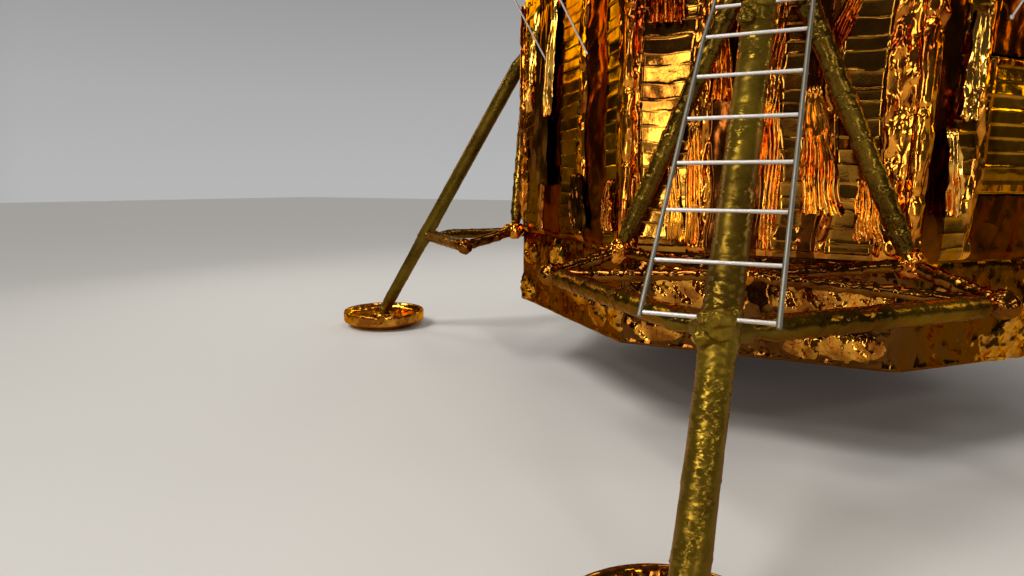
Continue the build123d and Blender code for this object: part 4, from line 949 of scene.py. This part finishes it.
def panelled(name, node, cuts, gap, rise, pick, finishes, keep, body="lander", bend=6.0):
    """A modelled part cut into raised panels, with seams between them and rivets inside their edges."""
    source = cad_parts[node]
    bm = bmesh.new()
    bm.from_mesh(source.data)
    bm.transform(source.matrix_world)
    bmesh.ops.remove_doubles(bm, verts=bm.verts, dist=1e-5)
    seams = bm.edges.layers.int.new("seam")
    for place, normal in cuts:
        cut = bmesh.ops.bisect_plane(bm, geom=bm.verts[:] + bm.edges[:] + bm.faces[:], dist=1e-5,
                                     plane_co=place, plane_no=normal)
        for edge in cut["geom_cut"]:
            if isinstance(edge, bmesh.types.BMEdge):
                edge[seams] = 1
    bm.normal_update()
    bm.faces.ensure_lookup_table()
    heads = []
    for number, region in enumerate(flat_regions(bm, seams, bend)):
        area = sum(f.calc_area() for f in region)
        centre = sum((f.calc_center_median() * f.calc_area() for f in region), Vector()) / area
        normal = sum((f.normal * f.calc_area() for f in region), Vector()).normalized()
        if not keep(centre, normal):
            continue
        chosen = pick(centre, normal, number)
        made = bmesh.ops.inset_region(bm, faces=region, thickness=gap, depth=rise, use_even_offset=True,
                                      use_boundary=True)
        for face in region + made["faces"]:
            face.material_index = chosen
        inside = set(region)
        for edge in dict.fromkeys(e for f in region for e in f.edges):
            inner = [f for f in edge.link_faces if f in inside]
            on_rim = len(inner) == 1 and len(edge.link_faces) == 2
            if on_rim and edge.calc_length() >= RIVET_SPACING * 0.8:
                rivet_row(edge, inner[0], heads)
    mesh = bpy.data.meshes.new(name)
    bm.to_mesh(mesh)
    bm.free()
    mesh.shade_flat()
    fitted(name, mesh, finishes, body, (node,))
    if heads:
        piece(name + "_fasteners", heads, rivet_metal, body)


def spoke(degrees, axis="z"):
    """A unit step away from the upright axis, or from the axis that runs front to back."""
    x, y = math.cos(math.radians(degrees)), math.sin(math.radians(degrees))
    return np.array([x, y, 0]) if axis == "z" else np.array([x, 0, y])


deck_cuts = [((0, 0, 0), spoke(a)) for a in (22.5, 67.5, 112.5, 157.5)]
deck_cuts += [((0, y, 0), (0, 1, 0)) for y in (-1.0, 1.0)]
deck_cuts += [((x, 0, 0), (1, 0, 0)) for x in (-1.0, 1.0)]
panelled("upper_deck_panels", "upper_deck", deck_cuts, 0.006, 0.003, lambda centre, normal, number: 0,
         [black_panel], keep=lambda centre, normal: normal.z > 0.9)
rim = []
for number in range(8):
    half = face_half(number * 45)
    u, z = np.meshgrid(np.linspace(-half, half, int(half * 2 / 0.018)),
                       np.linspace(DECK_TOP - 0.080, DECK_TOP + 0.004, 9))
    flat = np.stack([u, z, u * 0 + number], -1)
    stand = 0.012 + 0.007 * crumple(flat, 0.06, number, 2)
    rim.append(grid(on_face(number * 45, u, z, stand)))
piece("deck_rim_film", rim, amber_film)

# Descent engine
# A metal nozzle in the well under the bays: a long flared bell with stiffening rings and a rolled lip.
# It hangs under the engine's block, deep in the well.
nozzle_metal = metal("nozzle_metal", (0.30, 0.27, 0.25), 0.38, (1, 1, 0.1))
dress(nozzle_metal, "descent_engine", "engine_bell")


def ring(centre, axis, radius, thick, columns=64, tall=None, sides=10):
    """A hoop of round or flattened section round an axis."""
    axis = np.array(axis, float)
    side, other = sideways(axis)
    a, t = np.meshgrid(even_angles(columns), even_angles(sides), indexing="ij")
    out = np.cos(a)[..., None] * side + np.sin(a)[..., None] * other
    points = np.array(centre) + out * (radius + thick * np.cos(t))[..., None]
    points = points + axis * ((tall or thick) * np.sin(t))[..., None]
    index = np.arange(columns * sides).reshape(columns, sides)
    right, over = np.roll(index, -1, 0), np.roll(index, -1, 1)
    quads = np.stack([index, right, np.roll(right, -1, 1), over], -1).reshape(-1, 4)
    return points.reshape(-1, 3), quads


# height, radius, thickness
BELL_RINGS = ((0.464, 0.752, 0.012), (0.545, 0.722, 0.010), (0.640, 0.684, 0.010), (0.760, 0.634, 0.013),
              (0.880, 0.536, 0.008), (1.000, 0.425, 0.008))
bell = [ring((0, 0, z), (0, 0, 1), radius, thick, 96) for z, radius, thick in BELL_RINGS]
piece("bell_rings", bell, nozzle_metal)

# Equipment tray
# A tray in the front right corner bay, hinged along its lower edge and wrapped in gold film.
# Its cover is a sheet of film with level packing creases, held by a taped frame.
dress(gold_film, "equipment_tray")
TRAY_HALF, TRAY_LOW, TRAY_HIGH = 0.425, 1.620, 2.370
TRAY_MARGIN, CREASE_STEP = 0.004, 0.078
u, z = np.meshgrid(np.linspace(-TRAY_HALF + TRAY_MARGIN, TRAY_HALF - TRAY_MARGIN, 56),
                   np.linspace(TRAY_LOW + TRAY_MARGIN, TRAY_HIGH - TRAY_MARGIN, 110))
band = np.floor((z - TRAY_LOW) / CREASE_STEP).astype(int)
draw = np.random.default_rng(77)
lean, sway = draw.uniform(-0.10, 0.10, 12)[band], draw.uniform(-0.03, 0.03, 12)[band]
past = np.minimum(z - TRAY_LOW - band * CREASE_STEP, (band + 1) * CREASE_STEP - z + TRAY_LOW)
edge = np.minimum(TRAY_HALF - np.abs(u), np.minimum(z - TRAY_LOW, TRAY_HIGH - z))
stand = 0.010 + lean * (z - TRAY_LOW - (band + 0.5) * CREASE_STEP) + sway * u * 0.5
stand += 0.003 * np.exp(-past / 0.004) + 0.002 * crumple(np.stack([u, z, u * 0], -1), 0.12, 5, 2)
frame_band = (edge < 0.045) & (edge > 0.008)
taped = 0.014 + 0.006 * crumple(np.stack([u, z, u * 0 + 3], -1), 0.05, 6, 2)
stand = np.where(frame_band, taped, stand)
# The cover lies flat above its hinge, so that the open tray clears the film below it.
flat_foot = 0.005 + 0.017 * np.clip((z - 1.700) / 0.10, 0, 1)
stand = np.clip(stand, 0.002, flat_foot) * np.clip(edge / 0.01, 0.2, 1)
corners, quads = grid(on_face(45, u, z, stand))
picks = np.where(frame_band[:-1, :-1].ravel(), 1, 0)
piece("tray_cover_film", [(corners, quads, picks)], [creased_film, amber_film],
      body="equipment_tray")

# Fuel cask
# A slim metal cask on the rear left corner, held by two bands with clamp bolts.
# Four hoops and sixteen thin ribs stand on its skin.
white_paint = paint("white_paint", (0.66, 0.66, 0.63), 0.50, 0.10)
cask_metal = metal("cask_metal", (0.30, 0.29, 0.28), 0.45, (1, 1, 0.2))
dress(cask_metal, "fuel_cask")


def node_points(node):
    """The corners of a modelled part in the shared frame."""
    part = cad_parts[node]
    return np.array([part.matrix_world @ corner.co for corner in part.data.vertices])


def unwrinkled(run, angle, radius, points):
    """Nothing added to a tube's radius."""
    return 0 * run


def rod(start, end, radius, sides):
    """A plain round rod."""
    return tube(start, end, ((0, radius), (1, radius)), sides, 1.0, unwrinkled)


cask_points = node_points("fuel_cask")
high = cask_points[cask_points[:, 2] > 2.35]
CASK = np.array([(high[:, 0].min() + high[:, 0].max()) / 2, (high[:, 1].min() + high[:, 1].max()) / 2, 0])
CASK_RADIUS = 0.126
bands = [ring(CASK + (0, 0, z), (0, 0, 1), CASK_RADIUS, 0.007, 48, 0.014) for z in (1.925, 2.08, 2.24, 2.395)]
for number in range(16):
    out = CASK + spoke(number * 22.5) * CASK_RADIUS
    bands.append(rod(out + (0, 0, 1.945), out + (0, 0, 2.375), 0.005, 8))
piece("cask_ribs", bands, cask_metal)

# Plume deflectors
# Thin curved troughs that turn the downward jets of the thrusters away from the bays, on struts of thin rod.
# Ribs run round their backs and a rolled hem goes along their edges.
grey_panel = metal("grey_panel", (0.42, 0.42, 0.43), 0.56, (1, 1, 0.2), 30.0)
dress(grey_panel, "plume_deflectors")
dress(bare_aluminium, "deflector_rods")
TROUGH_REACH, TROUGH_HEIGHT, TROUGH_RADIUS = 3.195, 4.077, 1.016
ribs = []
for turn_degrees in (45, 135, 225, 315):
    _, along, outward = face_frame(turn_degrees)
    for u in (-0.405, -0.2, 0.0, 0.2, 0.405):
        a = np.radians(np.linspace(177.5, 230.5, 24))[:, None]
        tall, wide = (0.010, 0.006) if abs(u) < 0.4 else (0.007, 0.012)
        section = np.array([(0.0, -wide), (tall, -wide), (tall, wide), (0.0, wide)])
        reach = TROUGH_RADIUS + section[None, :, 0]
        points = outward * (TROUGH_REACH + reach * np.cos(a))[..., None]
        points = points + along * (u + section[None, :, 1])[..., None]
        points = points + np.array([0, 0, 1]) * (TROUGH_HEIGHT + reach * np.sin(a))[..., None]
        ribs.append(grid(points, around=True))
    for a in (178, 204, 230):
        reach, lift = spoke(a)[:2] * (TROUGH_RADIUS + 0.002)
        middle = outward * (TROUGH_REACH + reach) + np.array([0, 0, TROUGH_HEIGHT + lift])
        ribs.append(rod(middle - along * 0.418, middle + along * 0.418, 0.006, 8))
piece("deflector_ribs", ribs, grey_panel)

# Porch
# An aluminium deck outside the front hatch on two beams, with hoop rails at its sides.
# Round treads lie across it between two side rods.
dress(bare_aluminium, "porch", "porch_rails")
TREAD_RADII = ((0, 0.003), (0.01, 0.0055), (0.99, 0.0055), (1, 0.003))
treads = []
for number in range(23):
    y = -2.500 + number * 0.0318
    treads.append(tube((-0.385, y, 3.300), (0.385, y, 3.300), TREAD_RADII, 8, 1.0, unwrinkled))
for x in (-0.397, 0.397):
    treads.append(rod((x, -2.515, 3.303), (x, -1.785, 3.303), 0.006, 8))
piece("porch_treads", treads, bare_aluminium)

# Cabin drum and face
# A short drum across the front with a faceted face, both covered with thin screwed-on sheets.
# Sheets beside the windows and under the hatch are painted black against glare.
CABIN_CENTRE = 4.620
drum_cuts = [((0, 0, CABIN_CENTRE), spoke(a, "y")) for a in range(15, 180, 30)] + [((0, -0.93, 0), (0, 1, 0))]


def outside_drum(centre, normal):
    """Only the drum's outer skin takes panels."""
    radial = Vector((centre.x, 0, centre.z - CABIN_CENTRE))
    return radial.length > 1.0 and radial.normalized().dot(normal) > 0.7


def drum_finish(centre, normal, number):
    """Black sheets at the bottom, then a mix of grey, dark grey and black."""
    if centre.z < 4.0 or number * 7 % 5 == 1:
        return 1
    return 2 if number % 3 == 0 else 0


dark_grey = metal("dark_grey", (0.20, 0.20, 0.205), 0.45, (1, 1, 0.2), 24.0)
PANEL_FINISHES = [grey_panel, black_panel, dark_grey, amber_film]
panelled("cabin_drum_panels", "cabin_drum", drum_cuts, 0.005, 0.004, drum_finish, PANEL_FINISHES,
         keep=outside_drum, bend=14.0)
face_cuts = [((0, 0, z), (0, 0, 1)) for z in (3.660, 4.512, 5.050)]
face_cuts += [((x, 0, 0), (1, 0, 0)) for x in (-0.46, 0.46)]


def outside_face(centre, normal):
    """The front, its facets, the brow and the short outer skin behind them."""
    radial = Vector((centre.x, 0, centre.z - CABIN_CENTRE))
    return normal.y < -0.25 or (radial.length > 1.1 and radial.normalized().dot(normal) > 0.7)


def face_finish(centre, normal, number):
    """Black beside the windows and at the bottom, else grey and dark grey."""
    if abs(centre.x) > 0.42 and 4.35 < centre.z < 5.1 and normal.y < -0.25:
        return 1
    if centre.z < 3.75 and normal.y < -0.25:
        return 1
    return (0, 2, 0, 0, 2)[number % 5]


panelled("cabin_face_panels", "cabin_face", face_cuts, 0.005, 0.004, face_finish, PANEL_FINISHES,
         keep=outside_face, bend=8.0)

# Window panes
# Two three-cornered panes of dark coated glass, each clamped by a rounded metal frame with screws.
# The frame's section follows the outline of its pane.
window_glass, tree, surface = shader("window_glass")
# The glass's colour turns slightly lighter and more purple in cloudy patches: a painted sheen.
painted_sheen = noise(tree, object_place(tree), 1.5, 2.0)
tint = blend(tree, painted_sheen, (0.015, 0.015, 0.022, 1), (0.035, 0.026, 0.045, 1))
connect(surface, {"Base Color": tint, "Roughness": 0.04, "Coat Weight": 1.0})
dress(window_glass, "window_panes")
pane_points = node_points("window_panes")
# off the glass's edge, out of the glass
FRAME_SECTION = np.array([(-0.004, -0.004), (-0.002, 0.008), (0.006, 0.012), (0.026, 0.010), (0.032, 0.002),
                          (0.032, -0.006)])
frames, frame_screws = [], []
for sign in (-1, 1):
    corners = pane_points[pane_points[:, 0] * sign > 0]
    middle = corners.mean(0)
    _, _, axes = np.linalg.svd(corners - middle)
    outward = axes[2] if axes[2][1] < 0 else -axes[2]
    depth = (corners - middle) @ outward
    front = corners[depth > depth.max() - 0.003]
    flat = (front - middle) @ axes[:2].T
    loop = front[np.argsort(np.arctan2(flat[:, 1], flat[:, 0]))]
    kept = [0]
    for number in range(1, len(loop)):
        if np.linalg.norm(loop[number] - loop[kept[-1]]) > 0.004:
            kept.append(number)
    loop = loop[kept]
    lengths = np.linalg.norm(np.roll(loop, -1, 0) - loop, axis=1)
    ends = np.concatenate([[0], np.cumsum(lengths)])
    stops = np.arange(0, lengths.sum(), 0.012)
    path = np.stack([np.interp(stops, ends, np.append(loop[:, k], loop[0, k])) for k in range(3)], 1)
    after = np.roll(path, -2, 0) - np.roll(path, 2, 0)
    after /= np.linalg.norm(after, axis=1)[:, None]
    across = np.cross(after, outward)
    across *= np.sign(((path - loop.mean(0)) * across).sum(1))[:, None]
    points = path[:, None] + across[:, None] * FRAME_SECTION[None, :, :1]
    points = points + outward * FRAME_SECTION[None, :, 1:]
    index = np.arange(len(path) * 6).reshape(len(path), 6)
    over = np.roll(index, -1, 0)
    quads = np.stack([index[:, :-1], over[:, :-1], over[:, 1:], index[:, 1:]], -1).reshape(-1, 4)
    frames.append((points.reshape(-1, 3), quads))
    for spot in range(0, len(path), 6):
        rivet(path[spot] + across[spot] * 0.016 + outward * 0.011, outward, 0.005, frame_screws)
piece("window_frames", frames, dark_grey)
piece("window_frame_screws", frame_screws, rivet_metal)

# Front hatch
# A square hatch that swings inward, skinned with screwed-on panels.
# A round latch with three spokes sits in its middle.
LATCH = np.array([-0.01, -1.704, 4.08])


def hatch_finish(centre, normal, number):
    """Dark grey outside, grey inside."""
    return 2 if normal.y < -0.5 else 0


panelled("front_hatch_skin", "front_hatch", [((0, 0, LATCH[2]), (0, 0, 1)), ((LATCH[0], 0, 0), (1, 0, 0))],
         0.006, 0.003, hatch_finish, PANEL_FINISHES,
         keep=lambda centre, normal: abs(normal.y) > 0.8, body="front_hatch")
latch = [ring(LATCH, (0, 1, 0), 0.070, 0.006, 40), ring(LATCH, (0, 1, 0), 0.028, 0.007, 24)]
for a in (30, 150, 270):
    out = spoke(a, "y")
    latch.append(tube(LATCH + out * 0.02, LATCH + out * 0.07, ((0, 0.006), (1, 0.005)), 8, 1.0, unwrinkled))
piece("front_hatch_latch", latch, bare_aluminium, body="front_hatch")

# Midsection, docking tunnel and top hatch
# A square-sided cabin behind the drum, panelled like it, with the docking tunnel standing on its roof.
# The tunnel ends in a machined ring with twelve latches round it.
MID_HALF_X, MID_HALF_Y, MID_CENTRE = 0.83, 0.69, 4.85
mid_cuts = [((0, 0, z), (0, 0, 1)) for z in (4.45, 5.12)] + [((x, 0, 0), (1, 0, 0)) for x in (-0.55, 0.55)]


def outside_mid(centre, normal):
    """Only the midsection's outer sides take panels."""
    from_centre = Vector((centre.x, centre.y, centre.z - MID_CENTRE))
    share = max(abs(centre.x) / MID_HALF_X, abs(centre.y) / MID_HALF_Y, abs(from_centre.z))
    return share > 0.995 and from_centre.dot(normal) > 0


def mid_finish(centre, normal, number):
    """Black and dark grey on the roof, film underneath, a mix at the sides."""
    if normal.z > 0.7:
        return 1 if number % 3 == 0 else 2
    if normal.z < -0.7:
        return 3
    return (0, 2, 1, 0)[number % 4]


panelled("mid_cabin_panels", "mid_cabin", mid_cuts, 0.005, 0.004, mid_finish, PANEL_FINISHES,
         keep=outside_mid)
dress(black_panel, "docking_tunnel")
tunnel_parts = [ring((0, 0, z), (0, 0, 1), 0.441, 0.006, 72, 0.012) for z in (5.870, 6.020, 6.190)]
tunnel_parts.append(ring((0, 0, 6.322), (0, 0, 1), 0.460, 0.010, 72, 0.006))
for number in range(12):
    out = spoke(number * 30 + 15) * 0.462
    tunnel_parts.append(tube(out + (0, 0, 6.205), out + (0, 0, 6.268), ((0, 0.010), (0.5, 0.016), (1, 0.010)),
                             10, 0.015, unwrinkled))
piece("tunnel_bands", tunnel_parts, bare_aluminium)
dress(grey_panel, "top_hatch")
dress(bare_aluminium, "hatch_hinge")
grip = [ring((0, 0, 5.794), (0, 0, 1), 0.380, 0.006, 64), ring((0, 0, 5.800), (0, 0, 1), 0.085, 0.009, 40)]
for a in (0, 60, 120):
    out = spoke(a) * 0.37
    grip.append(rod(-out + (0, 0, 5.793), out + (0, 0, 5.793), 0.006, 8))
piece("top_hatch_ribs", grip, bare_aluminium, body="top_hatch")

# Ascent engine
# A short flared metal bell under the midsection, beneath a painted cover that stands inside the cabin.
# Three stiffening rings go round it.
dress(nozzle_metal, "ascent_engine")
dress(white_paint, "engine_cover")
ASCENT_RINGS = ((3.270, 0.391), (3.380, 0.353), (3.492, 0.309))
bell = [ring((0, 0, z), (0, 0, 1), radius, 0.007) for z, radius in ASCENT_RINGS]
piece("ascent_bell_rings", bell, nozzle_metal)

# Tank bulges and aft bay
# Faceted covers over the tanks at both sides, screwed on in flat panels.
# The aft bay behind them is wrapped in a black blanket held by tapes.


def bulge_finish(centre, normal, number):
    """Black underneath, a mix elsewhere."""
    if normal.z < -0.3:
        return 1
    return (0, 2, 0, 0, 2, 0, 1)[number % 7]


bulge_cuts = [((0, 0, 4.52), (0, 0, 1)), ((0, -0.28, 0), (0, 1, 0)), ((0, 0.28, 0), (0, 1, 0))]
for side in ("right", "left"):
    panelled("tank_bulge_panels_" + side, "tank_bulge_" + side, bulge_cuts, 0.005, 0.004, bulge_finish,
             PANEL_FINISHES, keep=lambda centre, normal: abs(centre.x) > 0.84)


def blanket(name, node, voxel, depth, size, seed, finish):
    """A crumpled blanket drawn over a modelled part."""
    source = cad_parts[node]
    plain = source.data.copy()
    plain.transform(source.matrix_world)
    cover = bpy.data.objects.new(name + "_form", plain)
    bpy.context.scene.collection.objects.link(cover)
    remesh = cover.modifiers.new("even", "REMESH")
    remesh.mode = "VOXEL"
    remesh.voxel_size = voxel
    even = bpy.data.meshes.new_from_object(cover.evaluated_get(bpy.context.evaluated_depsgraph_get()))
    points = np.empty(len(even.vertices) * 3)
    even.vertices.foreach_get("co", points)
    normals = np.empty(len(even.vertices) * 3)
    even.vertices.foreach_get("normal", normals)
    points, normals = points.reshape(-1, 3), normals.reshape(-1, 3)
    faces = [list(face.vertices) for face in even.polygons]
    bpy.data.objects.remove(cover)
    bpy.data.meshes.remove(even)
    points = points + normals * (depth * (0.55 + 0.5 * crumple(points, size, seed, 3)))[:, None]
    return piece(name, [(points, faces)], finish, replaced=(node,))


black_blanket = paint("black_blanket", (0.030, 0.030, 0.033), 0.30, 0.6, 16.0)
blanket("aft_bay_blanket", "aft_bay", 0.034, 0.014, 0.26, 3, black_blanket)
AFT_FACE = 1.518
TAPE_RADII = ((0, 0.004), (0.02, 0.011), (0.98, 0.011), (1, 0.004))
tape_lines = [((x, AFT_FACE, 4.16), (x, AFT_FACE, 5.43), 2) for x in (-0.5, 0.0, 0.5)]
tape_lines += [((-0.79, AFT_FACE, z), (0.79, AFT_FACE, z), 3) for z in (4.45, 4.80, 5.15)]
tapes = []
for start, end, seed in tape_lines:
    tapes.append(tube(start, end, TAPE_RADII, 10, 0.02,
                      lambda run, angle, radius, points: 0.003 * crumple(points, 0.04, seed, 2)))
piece("aft_bay_tapes", tapes, amber_film)

# Stage posts
# Four slanted posts carry the ascent stage on the deck, wrapped in gold film like the gear's tubes.
# Their ends are padded with crumpled film.
posts = []
for sx in (-1, 1):
    for sy in (-1, 1):
        foot = np.array([sx * 0.900, sy * 0.900, 3.2825])
        head = np.array([sx * 0.700, sy * 0.560, 3.7975])
        ripple = wrap_ripple(0.09, 0.004, 7 + sx + 3 * sy)
        posts += [lump(foot, 0.050, 3, 3), lump(head, 0.050, 4, 3),
                  tube(foot, head, ((0, 0.036), (1, 0.036)), 20, 0.012, ripple)]
piece("stage_post_wraps", posts, gold_film, replaced=("stage_posts",))

# Thrusters
# Four clusters of four small flared metal nozzles on blocks, each held out by a grey arm.
# Turned lips and collars go round each nozzle, which is bolted to its block.
dress(grey_panel, "thruster_arms")
thruster_metal = metal("thruster_metal", (0.40, 0.37, 0.35), 0.36, (1, 1, 1))
dress(thruster_metal, "thruster_clusters")
CLUSTER_REACH, CLUSTER_HEIGHT = 1.676, 4.720
# distance from the block's middle, radius, thickness, columns
NOZZLE_RINGS = ((0.2525, 0.0745, 0.0035, 24), (0.190, 0.0585, 0.0030, 20), (0.101, 0.038, 0.0050, 18))
lips, bolts = [], []
for sx in (-1, 1):
    for sy in (-1, 1):
        centre = np.array([sx * CLUSTER_REACH, sy * CLUSTER_REACH, CLUSTER_HEIGHT])
        for way in ((0, 0, 1), (0, 0, -1), (sx, 0, 0), (0, sy, 0)):
            way = np.array(way, float)
            for run, radius, thick, columns in NOZZLE_RINGS:
                lips.append(ring(centre + way * run, way, radius, thick, columns, sides=6))
            side, other = sideways(way)
            for a in (45, 135, 225, 315):
                x, y, _ = spoke(a) * 0.075
                rivet(centre + way * 0.095 + x * side + y * other, way, 0.007, bolts)
piece("thruster_lips", lips, thruster_metal)
piece("thruster_bolts", bolts, rivet_metal)

# Radar and steerable dish
# Two dishes on forks: one on a film-wrapped pedestal on the cabin's brow, one on a mast beside the tunnel.
# Each is a thin painted bowl with aluminium ribs behind it, a rolled rim, and a feed held by three thin rods.
blanket("radar_pedestal_film", "radar_pedestal", 0.012, 0.006, 0.07, 5, amber_film)
dress(grey_panel, "antenna_mast")
dress(bare_aluminium, "radar_fork", "antenna_fork")
dress(white_paint, "radar_dish", "antenna_dish", "whip_antennas")
DISHES = (("radar_dish", (0, -1.06, 6.68), 0.305), ("antenna_dish", (-0.9, 0, 6.56), 0.330))
RIB_SHARES = np.linspace(0.12, 0.90, 10)
for name, centre, radius in DISHES:
    centre = np.array(centre)
    back = np.array([0, 1, 0]) * (0.1205 - 0.0905 * RIB_SHARES**2)[:, None]
    ribs = []
    for number in range(12):
        path = centre + spoke(number * 30, "y") * (RIB_SHARES * radius)[:, None] + back
        ribs += [rod(start, stop, 0.0035, 6) for start, stop in zip(path, path[1:])]
    ribs.append(ring(centre + (0, 0.094, 0), (0, 1, 0), radius * 0.52, 0.004, 48))
    ribs.append(ring(centre + (0, -0.029, 0), (0, 1, 0), radius - 0.005, 0.005))
    for a in (90, 210, 330):
        out = spoke(a, "y")
        ribs.append(rod(centre + out * (radius - 0.02) + (0, -0.02, 0), centre + out * 0.03 + (0, -0.17, 0),
                        0.0035, 8))
    piece(name + "_ribs", ribs, bare_aluminium, body=name)
    bolts = []
    for sign in (-1, 1):
        for up in (-1, 1):
            place = centre + (sign * (radius + 0.068), up * 0.012, -0.04 + up * 0.010)
            rivet(place, (sign, 0, 0), 0.005, bolts)
    fork = name.replace("dish", "fork")
    piece(fork + "_bolts", bolts, rivet_metal, body=fork)
